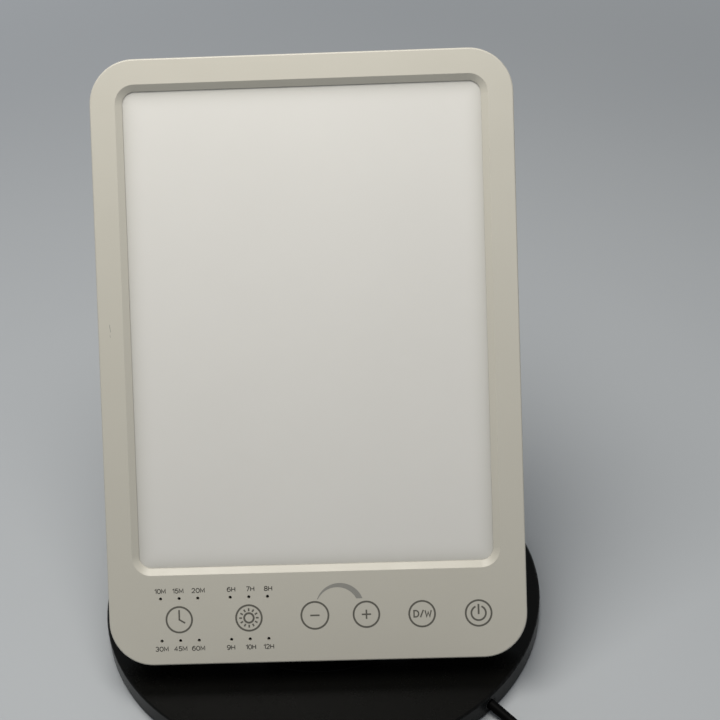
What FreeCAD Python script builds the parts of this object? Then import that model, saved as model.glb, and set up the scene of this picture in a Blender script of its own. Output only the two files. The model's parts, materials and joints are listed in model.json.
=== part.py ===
import FreeCAD, Part
import math
import os

# Table lamp for light therapy: a flat light head on a tilt hinge, carried by a turntable in a round base.
# Millimetres. +Z up, the lamp faces -Y, the origin is the middle of the base's underside.
V = FreeCAD.Vector
X_AXIS = V(1, 0, 0)
Y_AXIS = V(0, 1, 0)
Z_AXIS = V(0, 0, 1)

# ---- driving dimensions: base --------------------------------------------------------------------------
base_radius = 100.0
base_wall_height = 9.0
base_wall_thickness = 2.5
base_top_thickness = 2.2
base_rim_round = 0.9
foot_thickness = 1.0
foot_width = 25.4
foot_screw_gap = 2.2
base_plate_thickness = 1.6
base_plate_gap = 0.3
base_screw_count = 6
base_screw_inset = 7.8
base_boss_radius = 3.4
base_screw_radius = 1.4
base_screw_head_radius = 2.6
base_screw_head_depth = 1.2
base_rib_count = 12
base_rib_thickness = 1.6
ballast_inner_gap = 2.0
ballast_outer_gap = 0.8
ballast_thickness = 4.4
ballast_slot_width = 22.0

# ---- driving dimensions: turntable ---------------------------------------------------------------------
turntable_radius = 52.0
turntable_thickness = 2.7
turntable_gap = 0.5
turntable_floor_thickness = 1.8
recess_wall_thickness = 2.5
thrust_thickness = 0.3
thrust_inner_radius = 28.0
thrust_outer_radius = 47.0
hub_radius = 15.0
hub_running_gap = 0.06
hub_bore_radius = 8.0
hub_cap_thickness = 1.2
sliding_gap = 0.05
hub_screw_circle = 11.6
hub_screw_count = 3
hub_screw_radius = 1.1
hub_screw_head_radius = 2.0
spring_thickness = 0.4
spring_outer_radius = 21.0
hub_ring_thickness = 1.4
hub_ring_outer_radius = 22.0

# ---- driving dimensions: tilt hinge --------------------------------------------------------------------
lean_at_rest = 33.0
knuckle_radius = 4.8
knuckle_length = 47.0
neck_thickness = 7.0
neck_rib_reach = 14.0
neck_rib_count = 3
neck_rib_thickness = 3.0
pin_radius = 2.5
pin_in_knuckle = 12.0
pin_running_gap = 0.06
clip_radius = 4.5
clip_width = 12.0
clip_side_gap = 0.5
clip_leaf_thickness = 1.4
clip_leaf_height = 28.0
clip_screw_ups = (22.0, 31.0)
clip_screw_radius = 1.3
clip_screw_head_radius = 2.3
clip_screw_head_height = 1.2
pin_ring_width = 0.8
pin_ring_radius = 4.0
pin_end_gap = 0.2

# ---- driving dimensions: head --------------------------------------------------------------------------
head_width = 180.0
head_height = 260.0
head_depth = 18.0
head_corner_radius = 19.0
head_front_round = 0.7
head_back_round = 5.0
window_edge_round = 0.35
parting_bevel = 0.3
head_wall = 2.0
head_gap_above_base = 10.0
head_edge_ahead_of_centre = 55.6
frame_depth = 6.0
frame_plate = 2.6
back_plate = 2.0
side_rail = 10.8
top_rail = 10.8
key_strip = 39.0
window_corner_radius = 8.2
chamfer_width = 2.8
chamfer_depth = 2.1
hinge_up = 7.5
hinge_in = 12.4
notch_side_gap = 1.0
notch_top = 15.0
notch_wall = 1.6
notch_front_wall = 1.2
knuckle_front_gap = 0.4
leaf_slot_gap = 0.3
shell_lip_height = 1.6
shell_lip_thickness = 1.2
shell_lip_gap = 0.1

diffuser_overlap = 2.4
diffuser_thickness = 2.0
light_guide_inset = 1.4
light_guide_thickness = 3.0
reflector_thickness = 0.3
heat_plate_thickness = 1.2
led_bar_thickness = 1.0
led_bar_gap = 0.3
led_bar_length = 190.0
led_bar_depth = 2.8
led_chip_count = 18
led_chip_length = 3.0
led_chip_height = 0.25
led_chip_margin = 0.4
led_bar_margin = 0.1

# ---- driving dimensions: key strip ---------------------------------------------------------------------
key_row_up = 19.7
# places of the six keys across the head, as shares of its width from the middle
key_shares = (-0.33, -0.1628, -0.005, 0.1183, 0.2511, 0.3861)
lamp_hole_radius = 0.7
lamp_hole_pitch = 8.05
lamp_hole_row_offset = 9.15
lamp_group_count = 2
board_thickness = 1.2
board_side_gap = 10.0
board_low = 5.0
board_top_gap = 4.5
board_corner_radius = 12.0
board_gap_to_plate = 1.8
board_post_radius = 2.4
board_post_inset = 4.0
board_post_low = 9.0
board_post_high = 4.5
spring_pad_radius = 4.2
spring_pad_wall = 0.9
lamp_chip_half = 1.0
lamp_chip_height = 1.4

# ---- driving dimensions: back shell --------------------------------------------------------------------
shell_post_gap = 0.5
shell_post_ups = (34.0, 130.0, 226.0)
shell_post_radius = 3.0
shell_screw_radius = 1.3
shell_screw_head_radius = 2.3
shell_screw_head_depth = 2.4
shell_rib_thickness = 1.6
shell_rib_xs = (-48.0, 0.0, 48.0)
shell_rib_ups = (84.0, 143.0, 202.0)
vent_slot_width = 2.2
vent_slot_length = 26.0
vent_slot_pitch = 6.0
vent_slot_count = 17
vent_row_ups = (66.0, 221.0)

# ---- driving dimensions: lead --------------------------------------------------------------------------
lead_diameter = 4.5
lead_exit_angle = 47.0
lead_exit_height = 4.9
bush_radius = 3.1
clamp_inset = 28.0
clamp_width = 17.0
clamp_length = 8.0
clamp_height = 4.9
clamp_screw_spread = 5.6
clamp_screw_radius = 1.2
clamp_screw_head_radius = 2.0
clamp_screw_head_height = 0.8
lead_end_gap = 7.0
bush_inset = 0.3
# places of the free lead, from its exit: across, towards the front, and height above the floor
lead_route = (
    (7.2, 6.8, 3.7),
    (14.7, 16.6, 2.4),
    (20.7, 28.4, 2.25),
    (23.9, 41.8, 2.25),
)
coil_from_exit = (24.4, 60.8)
coil_middle_radius = 27.0
coil_columns = 3
coil_layers = 4
# places of the lead's far end, from where it leaves the coil: across, towards the front, and height
lead_end_route = (
    (-10.0, 0.3, 15.6),
    (-21.0, -1.2, 15.0),
    (-31.0, -4.7, 13.9),
)
adapter_length = 60.0
adapter_width = 40.0
adapter_height = 27.0
adapter_corner = 5.0
adapter_edge_round = 1.5
adapter_from_coil = (-54.0, -7.5)
blade_tip_round = 1.2
boot_length = 14.0
boot_radius_at_body = 4.6
boot_radius_at_lead = 3.2
blade_length = 17.0
blade_width = 6.3
blade_thickness = 1.5
blade_spacing = 12.7

# ---- places worked out from the driving dimensions -----------------------------------------------------
base_top = foot_thickness + base_wall_height
base_plate_top = foot_thickness + base_plate_thickness
base_inner_radius = base_radius - base_wall_thickness
base_screw_circle = base_radius - base_screw_inset
turntable_bottom = base_top - turntable_thickness
recess_floor = turntable_bottom - thrust_thickness
recess_under = recess_floor - turntable_floor_thickness
recess_radius = turntable_radius + turntable_gap
ballast_inner_radius = recess_radius + recess_wall_thickness + ballast_inner_gap
ballast_outer_radius = base_screw_circle - base_boss_radius - ballast_outer_gap
foot_outer_radius = base_screw_circle - base_screw_head_radius - foot_screw_gap
foot_inner_radius = foot_outer_radius - foot_width
clamp_distance = base_radius - clamp_inset
lead_inner_end = recess_radius + recess_wall_thickness + lead_end_gap
spring_bottom = recess_under - spring_thickness
hub_ring_bottom = spring_bottom - hub_ring_thickness
ballast_top = base_plate_top + ballast_thickness
lean = math.radians(lean_at_rest)
head_up = V(0, math.sin(lean), math.cos(lean))
head_in = V(0, math.cos(lean), -math.sin(lean))
head_origin = V(0, -head_edge_ahead_of_centre, base_top + head_gap_above_base)
hinge_axis = head_origin + head_up * hinge_up + head_in * hinge_in
diffuser_back = frame_plate + diffuser_thickness
guide_back = diffuser_back + light_guide_thickness
reflector_back = guide_back + reflector_thickness
heat_back = reflector_back + heat_plate_thickness
board_front = frame_plate + board_gap_to_plate
board_back = board_front + board_thickness
key_places = [share * head_width for share in key_shares]
board_half_width = head_width / 2 - board_side_gap
board_high = key_strip - board_top_gap
board_post_x = board_half_width - board_post_inset
board_post_ups = (board_low + board_post_low, board_high - board_post_high)
board_posts = [(side * board_post_x, up) for side in (-1, 1) for up in board_post_ups]
clip_start = knuckle_length / 2 + clip_side_gap
clip_end = clip_start + clip_width
clip_middle = (clip_start + clip_end) / 2
pin_ring_start = clip_end + pin_end_gap
pin_ring_end = pin_ring_start + pin_ring_width
notch_half_width = pin_ring_end + notch_side_gap
leaf_front = hinge_in - clip_radius
leaf_back = leaf_front + clip_leaf_thickness
back_inside = head_depth - back_plate
lip_outer_inset = head_wall + shell_lip_gap
lip_inner_inset = lip_outer_inset + shell_lip_thickness
shell_post_x = head_width / 2 - lip_inner_inset - shell_post_radius - shell_post_gap
lead_radius = lead_diameter / 2
window_half = head_width / 2 - side_rail
window_low = key_strip
window_high = head_height - top_rail
opening_half = window_half - chamfer_width
opening_low = window_low + chamfer_width
opening_high = window_high - chamfer_width
opening_corner = window_corner_radius - chamfer_width


# ---- small helpers -------------------------------------------------------------------------------------
def disc(radius, low, high, middle=V(0, 0, 0)):
    """Upright cylinder between two heights."""
    return Part.makeCylinder(radius, high - low, V(middle.x, middle.y, low))


def ring(inner, outer, low, high, middle=V(0, 0, 0)):
    """Upright ring between two heights."""
    return disc(outer, low, high, middle).cut(disc(inner, low, high, middle))


def box(x0, x1, y0, y1, z0, z1):
    """Box between two corners."""
    return Part.makeBox(x1 - x0, y1 - y0, z1 - z0, V(x0, y0, z0))


def around(radius, degrees, height=0.0):
    """Point on a circle about the origin, at an angle from the front towards +X."""
    a = math.radians(degrees)
    return V(radius * math.sin(a), -radius * math.cos(a), height)


def rounded_wire(x0, x1, z0, z1, radius, y):
    """Rounded rectangle in the plane of the head's front face, at depth y."""
    sides = (
        (V(x0 + radius, y, z0), V(x1 - radius, y, z0)),
        (V(x1, y, z0 + radius), V(x1, y, z1 - radius)),
        (V(x1 - radius, y, z1), V(x0 + radius, y, z1)),
        (V(x0, y, z1 - radius), V(x0, y, z0 + radius)),
    )
    centres = (
        V(x1 - radius, y, z0 + radius),
        V(x1 - radius, y, z1 - radius),
        V(x0 + radius, y, z1 - radius),
        V(x0 + radius, y, z0 + radius),
    )
    edges = []
    for number, (start, end) in enumerate(sides):
        after = sides[(number + 1) % 4][0]
        out = (end + after) * 0.5 - centres[number]
        out.normalize()
        edges.append(Part.LineSegment(start, end).toShape())
        edges.append(Part.Arc(end, centres[number] + out * radius, after).toShape())
    return Part.Wire(edges)


def rounded_plate(x0, x1, z0, z1, radius, y0, y1):
    """Plate with rounded corners, parallel to the head's front face."""
    face = Part.Face(rounded_wire(x0, x1, z0, z1, radius, y0))
    return face.extrude(V(0, y1 - y0, 0))


def head_outline(y0, y1, inset=0.0):
    """The head's outline, offset inwards, between two depths."""
    half = head_width / 2 - inset
    return rounded_plate(-half, half, inset, head_height - inset, head_corner_radius - inset, y0, y1)


def post(radius, x, up, y0, y1):
    """Cylinder square to the head's front face."""
    return Part.makeCylinder(radius, y1 - y0, V(x, y0, up), Y_AXIS)


def along_x(radius, x0, x1, y, z):
    """Cylinder along X."""
    return Part.makeCylinder(radius, x1 - x0, V(x0, y, z), X_AXIS)


def edges_at_depth(solid, y):
    """Edges that lie in the plane at one depth of the head."""
    return [e for e in solid.Edges if abs(e.BoundBox.YMin - y) < 1e-4 and abs(e.BoundBox.YMax - y) < 1e-4]


def edges_at_height(solid, z):
    """Edges that lie in one horizontal plane."""
    return [e for e in solid.Edges if abs(e.BoundBox.ZMin - z) < 1e-4 and abs(e.BoundBox.ZMax - z) < 1e-4]


def fuse(solids):
    """One solid from overlapping ones."""
    return solids[0].multiFuse(solids[1:]).removeSplitter()


def leant(shape):
    """Moves a shape from the upright head's own frame to the leaning head."""
    moved = shape.copy()
    moved.rotate(V(0, 0, 0), X_AXIS, -lean_at_rest)
    moved.translate(head_origin)
    return moved


def turned(shape, degrees):
    """Copy turned about the base's axis."""
    moved = shape.copy()
    moved.rotate(V(0, 0, 0), Z_AXIS, degrees)
    return moved


# ---- base ----------------------------------------------------------------------------------------------
def lead_line(distance, height=lead_exit_height):
    """Point on the lead's straight way out of the base."""
    return around(distance, lead_exit_angle, height)


def lead_bore(radius, near, far):
    """Cylinder along the lead's straight way out of the base."""
    start = lead_line(near)
    return Part.makeCylinder(radius, far - near, start, lead_line(far) - start)


def screw_places():
    """Angles of the base screws, the first one half a pitch from the lead."""
    pitch = 360.0 / base_screw_count
    return [lead_exit_angle + pitch * (number + 0.5) for number in range(base_screw_count)]


def make_base_cover():
    """Moulded cover with the side wall, the turntable's recess, ribs and bosses."""
    cover = disc(base_radius, foot_thickness, base_top)
    cover = cover.makeFillet(base_rim_round, edges_at_height(cover, base_top))
    cover = cover.cut(disc(base_inner_radius, foot_thickness, base_top - base_top_thickness))
    well = disc(recess_radius + recess_wall_thickness, recess_under, base_top - base_top_thickness)
    cover = cover.fuse(well)
    cover = cover.cut(disc(recess_radius, recess_floor, base_top))
    cover = cover.cut(disc(hub_radius + hub_running_gap, recess_under, recess_floor))
    details = []
    rib_low = ballast_top
    rib_high = base_top - base_top_thickness
    for number in range(base_rib_count):
        rib = box(
            -base_rib_thickness / 2,
            base_rib_thickness / 2,
            recess_radius + recess_wall_thickness / 2,
            ballast_outer_radius,
            rib_low,
            rib_high,
        )
        details.append(turned(rib, number * 360.0 / base_rib_count))
    for angle in screw_places():
        place = around(base_screw_circle, angle)
        boss = disc(base_boss_radius, base_plate_top, rib_high, place)
        details.append(boss)
    cover = fuse([cover] + details)
    for angle in screw_places():
        place = around(base_screw_circle, angle)
        cover = cover.cut(disc(base_screw_radius, base_plate_top, rib_high, place))
    return cover.cut(lead_bore(bush_radius, base_inner_radius - base_wall_thickness, base_radius + 1.0))


def make_base_plate():
    """Plate that closes the base from below."""
    plate = disc(base_inner_radius - base_plate_gap, foot_thickness, base_plate_top)
    for angle in screw_places():
        place = around(base_screw_circle, angle)
        plate = plate.cut(disc(base_screw_radius, foot_thickness, base_plate_top, place))
        sunk_top = foot_thickness + base_screw_head_depth
        plate = plate.cut(disc(base_screw_head_radius, foot_thickness, sunk_top, place))
    for side in (-1, 1):
        plate = plate.cut(clamp_screw_hole(side, foot_thickness, base_plate_top))
    return plate


def make_base_screws():
    """Screws that hold the plate to the cover's bosses."""
    screws = []
    for angle in screw_places():
        place = around(base_screw_circle, angle)
        head = disc(base_screw_head_radius, foot_thickness, foot_thickness + base_screw_head_depth, place)
        shank = disc(base_screw_radius, foot_thickness, ballast_top, place)
        screws.append(fuse([head, shank]))
    return Part.makeCompound(screws)


def make_foot_ring():
    """Rubber ring under the base."""
    return ring(foot_inner_radius, foot_outer_radius, 0, foot_thickness)


def make_ballast():
    """Steel ring with a slot for the lead."""
    plate = ring(ballast_inner_radius, ballast_outer_radius, base_plate_top, ballast_top)
    slot = box(
        -ballast_slot_width / 2,
        ballast_slot_width / 2,
        -ballast_outer_radius - 1.0,
        0,
        base_plate_top,
        ballast_top,
    )
    return plate.cut(turned(slot, lead_exit_angle))


def make_bush():
    """Rubber bush in the base's wall."""
    sleeve = lead_bore(bush_radius, base_inner_radius, base_radius - bush_inset)
    return sleeve.cut(lead_bore(lead_radius, base_inner_radius - 1.0, base_radius + 1.0))


def clamp_screw_hole(side, low, high):
    """One clamp screw's shank."""
    shank = disc(clamp_screw_radius, low, high, V(side * clamp_screw_spread, -clamp_distance, 0))
    return turned(shank, lead_exit_angle)


def make_lead_clamp():
    """Saddle that holds the lead inside the base."""
    saddle = box(
        -clamp_width / 2,
        clamp_width / 2,
        -clamp_distance - clamp_length / 2,
        -clamp_distance + clamp_length / 2,
        base_plate_top,
        base_plate_top + clamp_height,
    )
    saddle = turned(saddle, lead_exit_angle)
    saddle = saddle.cut(lead_bore(lead_radius, clamp_distance - clamp_length, clamp_distance + clamp_length))
    for side in (-1, 1):
        saddle = saddle.cut(clamp_screw_hole(side, base_plate_top, base_top))
        head = disc(
            clamp_screw_head_radius,
            base_plate_top + clamp_height - clamp_screw_head_height,
            base_top,
            V(side * clamp_screw_spread, -clamp_distance, 0),
        )
        saddle = saddle.cut(turned(head, lead_exit_angle))
    return saddle


def make_clamp_screws():
    """The saddle's two screws."""
    screws = []
    top = base_plate_top + clamp_height
    for side in (-1, 1):
        place = V(side * clamp_screw_spread, -clamp_distance, 0)
        head = disc(clamp_screw_head_radius, top - clamp_screw_head_height, top, place)
        screws.append(fuse([turned(head, lead_exit_angle), clamp_screw_hole(side, foot_thickness, top)]))
    return Part.makeCompound(screws)


# ---- turntable -----------------------------------------------------------------------------------------
def hub_places():
    """Places of the hub screws."""
    return [around(hub_screw_circle, number * 360.0 / hub_screw_count) for number in range(hub_screw_count)]


def knuckle_parts():
    """Hinge barrel, its neck and the ribs behind the neck."""
    y, z = hinge_axis.y, hinge_axis.z
    barrel = along_x(knuckle_radius, -knuckle_length / 2, knuckle_length / 2, y, z)
    half = neck_thickness / 2
    neck = box(-knuckle_length / 2, knuckle_length / 2, y - half, y + half, turntable_bottom, z)
    ribs = []
    pitch = (knuckle_length - neck_rib_thickness) / (neck_rib_count - 1)
    for number in range(neck_rib_count):
        x = (number - (neck_rib_count - 1) / 2) * pitch - neck_rib_thickness / 2
        foot = V(x, y + half + neck_rib_reach, base_top - turntable_thickness / 2)
        corners = (V(x, y, z - half), V(x, y + half, z - half), foot, V(x, y, foot.z))
        outline = Part.makePolygon(list(corners) + [corners[0]])
        ribs.append(Part.Face(outline).extrude(V(neck_rib_thickness, 0, 0)))
    return [barrel, neck] + ribs


def make_turntable():
    """Disc flush with the base's top, with its hub below and the hinge knuckle above."""
    plate = disc(turntable_radius, turntable_bottom, base_top)
    hub = disc(hub_radius, spring_bottom, turntable_bottom)
    table = fuse([plate, hub] + knuckle_parts())
    table = table.cut(disc(hub_bore_radius, spring_bottom, base_top - hub_cap_thickness))
    for side in (-1, 1):
        inner = knuckle_length / 2 - pin_in_knuckle
        ends = sorted((side * inner, side * (knuckle_length / 2 + 1.0)))
        table = table.cut(along_x(pin_radius, ends[0], ends[1], hinge_axis.y, hinge_axis.z))
    for place in hub_places():
        table = table.cut(disc(hub_screw_radius, spring_bottom, turntable_bottom, place))
    return table


def make_thrust_washer():
    """Low-friction washer that the turntable turns on."""
    return ring(thrust_inner_radius, thrust_outer_radius, recess_floor, turntable_bottom - sliding_gap)


def make_spring_washer():
    """Spring washer between the hub ring and the cover's floor."""
    return ring(hub_radius + hub_running_gap, spring_outer_radius, spring_bottom, recess_under - sliding_gap)


def make_hub_ring():
    """Ring screwed to the hub from below, which holds the turntable down."""
    plate = ring(hub_bore_radius, hub_ring_outer_radius, hub_ring_bottom, spring_bottom)
    for place in hub_places():
        plate = plate.cut(disc(hub_screw_radius, hub_ring_bottom, spring_bottom, place))
        plate = plate.cut(hub_screw_head(place))
    return plate


def hub_screw_head(place):
    """Countersunk head, flush with the ring's underside."""
    depth = hub_screw_head_radius - hub_screw_radius
    return Part.makeCone(hub_screw_head_radius, hub_screw_radius, depth, V(place.x, place.y, hub_ring_bottom))


def make_hub_screws():
    """Screws of the hub ring."""
    screws = []
    for place in hub_places():
        shank = disc(hub_screw_radius, hub_ring_bottom, turntable_bottom, place)
        screws.append(fuse([hub_screw_head(place), shank]))
    return Part.makeCompound(screws)


def make_pin(side):
    """Hinge pin, pressed into the knuckle."""
    ends = sorted((side * (knuckle_length / 2 - pin_in_knuckle), side * pin_ring_end))
    return along_x(pin_radius, ends[0], ends[1], hinge_axis.y, hinge_axis.z)


def make_pin_rings():
    """Rings on the pins' ends."""
    rings = []
    for side in (-1, 1):
        ends = sorted((side * pin_ring_start, side * pin_ring_end))
        outer = along_x(pin_ring_radius, ends[0], ends[1], hinge_axis.y, hinge_axis.z)
        rings.append(outer.cut(along_x(pin_radius, ends[0], ends[1], hinge_axis.y, hinge_axis.z)))
    return Part.makeCompound(rings)


# ---- head, in its own upright frame: X across, Y into the head, Z up the head --------------------------
def lamp_places():
    """Centres of the small indicator holes, two rows of three about each of two keys."""
    places = []
    for middle in key_places[:lamp_group_count]:
        for row in (-1, 1):
            for column in (-1, 0, 1):
                places.append((middle + column * lamp_hole_pitch, key_row_up + row * lamp_hole_row_offset))
    return places


def shell_posts():
    """Places of the screws that close the head."""
    return [(side * shell_post_x, up) for side in (-1, 1) for up in shell_post_ups]


def window_loop(solid, depth, half):
    """Edges of the window's outline at one depth."""
    return [e for e in edges_at_depth(solid, depth) if abs(e.BoundBox.Center.x) < half + 1e-4]


def make_front_frame():
    """Moulded frame with the chamfered window, the key strip's holes and its inner posts."""
    frame = head_outline(0, frame_depth)
    frame = frame.makeFillet(head_front_round, edges_at_depth(frame, 0))
    frame = frame.makeChamfer(parting_bevel, edges_at_depth(frame, frame_depth))
    frame = frame.cut(head_outline(frame_plate, frame_depth, head_wall))
    lip = rounded_wire(-window_half, window_half, window_low, window_high, window_corner_radius, 0)
    foot = rounded_wire(-opening_half, opening_half, opening_low, opening_high, opening_corner, chamfer_depth)
    frame = frame.cut(Part.makeLoft([lip, foot], True, True))
    through = rounded_plate(
        -opening_half,
        opening_half,
        opening_low,
        opening_high,
        opening_corner,
        chamfer_depth,
        frame_plate + 1.0,
    )
    frame = frame.cut(through)
    window_edges = window_loop(frame, 0, window_half) + window_loop(frame, chamfer_depth, opening_half)
    frame = frame.makeFillet(window_edge_round, window_edges)
    posts = [post(board_post_radius, x, up, frame_plate, board_front) for x, up in board_posts]
    posts += [post(shell_post_radius, x, up, frame_plate, frame_depth) for x, up in shell_posts()]
    frame = fuse([frame] + posts)
    holes = [post(lamp_hole_radius, x, up, -1.0, frame_plate + 1.0) for x, up in lamp_places()]
    holes += [post(shell_screw_radius, x, up, frame_plate, frame_depth) for x, up in shell_posts()]
    return frame.cut(Part.makeCompound(holes))


def make_diffuser():
    """Opal plate behind the window."""
    half = opening_half + diffuser_overlap
    low = opening_low - diffuser_overlap
    high = opening_high + diffuser_overlap
    radius = opening_corner + diffuser_overlap
    return rounded_plate(-half, half, low, high, radius, frame_plate, diffuser_back)


def guide_plate(y0, y1):
    """Plate of the light guide's outline."""
    half = opening_half + diffuser_overlap - light_guide_inset
    low = opening_low - diffuser_overlap
    high = opening_high + diffuser_overlap
    return box(-half, half, y0, y1, low, high)


def make_heat_plate():
    """Aluminium plate whose folded sides carry the light bars."""
    half = opening_half + diffuser_overlap - light_guide_inset + led_bar_gap + led_bar_thickness
    low = opening_low - diffuser_overlap
    high = opening_high + diffuser_overlap
    outer_half = half + heat_plate_thickness
    outer = box(-outer_half, outer_half, diffuser_back, heat_back, low, high)
    return outer.cut(box(-half, half, diffuser_back, reflector_back, low, high))


def make_led_bar(side):
    """Light bar along one side of the light guide, with its chips."""
    guide_half = opening_half + diffuser_overlap - light_guide_inset
    face = guide_half + led_bar_gap
    middle = (opening_low + opening_high) / 2
    low = middle - led_bar_length / 2
    front = diffuser_back + led_bar_margin
    back = front + led_bar_depth
    bar = box(face, face + led_bar_thickness, front, back, low, low + led_bar_length)
    chips = []
    chip_front = front + led_chip_margin
    chip_back = back - led_chip_margin
    for number in range(led_chip_count):
        up = low + (number + 0.5) * led_bar_length / led_chip_count
        chip_low = up - led_chip_length / 2
        chip_high = chip_low + led_chip_length
        chips.append(
            box(face - led_chip_height, face + led_chip_height, chip_front, chip_back, chip_low, chip_high)
        )
    bar = fuse([bar] + chips)
    return bar if side > 0 else bar.mirror(V(0, 0, 0), X_AXIS)


def notch_block(grow, low, front):
    """Space round the hinge at the foot of the back shell."""
    half = notch_half_width + grow
    return box(-half, half, front, head_depth + 1.0, low, notch_top + grow)


def leaf_place(x0, x1, grow):
    """Slot or leaf of one hinge clip."""
    top = hinge_up + clip_leaf_height + grow
    return box(x0 - grow, x1 + grow, leaf_front - grow, leaf_back + grow, hinge_up, top)


def make_back_shell():
    """Rear moulding with the hinge notch, vents, ribs and screw posts."""
    outer = head_outline(frame_depth, head_depth)
    outer = outer.makeFillet(head_back_round, edges_at_depth(outer, head_depth))
    outer = outer.makeChamfer(parting_bevel, edges_at_depth(outer, frame_depth))
    shell = outer.cut(head_outline(frame_depth, back_inside, head_wall))
    lip_front = frame_depth - shell_lip_height
    lip_back = frame_depth + head_wall
    lip_space = head_outline(lip_front, lip_back, lip_inner_inset)
    lip = head_outline(lip_front, lip_back, lip_outer_inset).cut(lip_space)
    lip_bridge = head_outline(frame_depth, lip_back, head_wall / 2).cut(lip_space)
    inner = [lip, lip_bridge]
    for x, up in shell_posts():
        inner.append(post(shell_post_radius, x, up, frame_depth, back_inside + 0.5))
    for x in shell_rib_xs:
        inner.append(
            box(
                x - shell_rib_thickness / 2,
                x + shell_rib_thickness / 2,
                heat_back,
                back_inside + 0.5,
                shell_rib_ups[0] - 10.0,
                shell_rib_ups[-1] + 5.0,
            )
        )
    for up in shell_rib_ups:
        inner.append(
            box(
                -window_half,
                window_half,
                heat_back,
                back_inside + 0.5,
                up - shell_rib_thickness / 2,
                up + shell_rib_thickness / 2,
            )
        )
    for x in (-1, 1):
        for up in clip_screw_ups:
            inner.append(post(shell_post_radius, x * clip_middle, up, leaf_back, back_inside + 0.5))
    block_front = hinge_in - knuckle_radius - knuckle_front_gap - notch_front_wall
    inner.append(outer.common(notch_block(notch_wall, 0, block_front)))
    shell = fuse([shell] + inner)
    cuts = [notch_block(0, -1.0, block_front + notch_front_wall)]
    for side in (-1, 1):
        ends = sorted((side * clip_start, side * clip_end))
        slot = leaf_place(ends[0], ends[1], leaf_slot_gap)
        slot_space = notch_block(notch_wall + leaf_slot_gap, hinge_up, leaf_front - leaf_slot_gap)
        cuts.append(slot.common(slot_space))
        for up in clip_screw_ups:
            cuts.append(post(clip_screw_radius, side * clip_middle, up, leaf_back, back_inside))
    for x, up in shell_posts():
        cuts.append(post(shell_screw_radius, x, up, frame_depth - 1.0, head_depth))
        well_bottom = head_depth - shell_screw_head_depth
        cuts.append(post(shell_screw_head_radius, x, up, well_bottom, head_depth + 1.0))
    for row in vent_row_ups:
        for number in range(vent_slot_count):
            x = (number - (vent_slot_count - 1) / 2) * vent_slot_pitch
            cuts.append(
                rounded_plate(
                    x - vent_slot_width / 2,
                    x + vent_slot_width / 2,
                    row - vent_slot_length / 2,
                    row + vent_slot_length / 2,
                    vent_slot_width / 2 - 0.05,
                    back_inside - 0.01,
                    head_depth + 1.0,
                )
            )
    return shell.cut(Part.makeCompound(cuts))


def make_control_board():
    """Circuit board behind the key strip."""
    board = rounded_plate(
        -board_half_width,
        board_half_width,
        board_low,
        board_high,
        board_corner_radius,
        board_front,
        board_back,
    )
    holes = [post(board_post_radius / 2, x, up, board_front, board_back) for x, up in board_posts]
    return board.cut(Part.makeCompound(holes))


def make_board_screws():
    """Screws that hold the board to the frame's posts."""
    screws = []
    for x, up in board_posts:
        head = post(board_post_radius, x, up, board_back, board_back + 1.0)
        screws.append(fuse([head, post(board_post_radius / 2, x, up, board_front, board_back + 1.0)]))
    return Part.makeCompound(screws)


def make_touch_springs():
    """Sensor springs between the board and the key strip, one under each key."""
    springs = []
    for x in key_places:
        outer = post(spring_pad_radius, x, key_row_up, frame_plate, board_front)
        inner = post(spring_pad_radius - spring_pad_wall, x, key_row_up, frame_plate, board_front)
        springs.append(outer.cut(inner))
    return Part.makeCompound(springs)


def make_indicator_lamps():
    """Small lamps on the board, one behind each hole."""
    chips = []
    for x, up in lamp_places():
        chips.append(
            box(
                x - lamp_chip_half,
                x + lamp_chip_half,
                board_front - lamp_chip_height,
                board_front,
                up - lamp_chip_half,
                up + lamp_chip_half,
            )
        )
    return Part.makeCompound(chips)


def make_hinge_clip(side):
    """Wrapped steel clip: a barrel that grips the pin and a leaf screwed to the shell."""
    ends = sorted((side * clip_start, side * clip_end))
    barrel = along_x(clip_radius, ends[0], ends[1], hinge_in, hinge_up)
    leaf = box(ends[0], ends[1], leaf_front, leaf_back, hinge_up, hinge_up + clip_leaf_height)
    clip = fuse([barrel, leaf])
    clip = clip.cut(along_x(pin_radius + pin_running_gap, ends[0] - 1.0, ends[1] + 1.0, hinge_in, hinge_up))
    for up in clip_screw_ups:
        clip = clip.cut(post(clip_screw_radius, side * clip_middle, up, leaf_front, leaf_back))
    return clip


def make_clip_screws():
    """Screws of the hinge clips."""
    screws = []
    for side in (-1, 1):
        head_front = leaf_front - clip_screw_head_height
        for up in clip_screw_ups:
            head = post(clip_screw_head_radius, side * clip_middle, up, head_front, leaf_front)
            shank = post(clip_screw_radius, side * clip_middle, up, head_front, back_inside - 1.0)
            screws.append(fuse([head, shank]))
    return Part.makeCompound(screws)


def make_shell_screws():
    """Screws that close the head from behind."""
    screws = []
    for x, up in shell_posts():
        top = head_depth - shell_screw_head_depth
        head = post(shell_screw_head_radius, x, up, top, top + 1.4)
        screws.append(fuse([head, post(shell_screw_radius, x, up, frame_plate, top + 1.4)]))
    return Part.makeCompound(screws)


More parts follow.
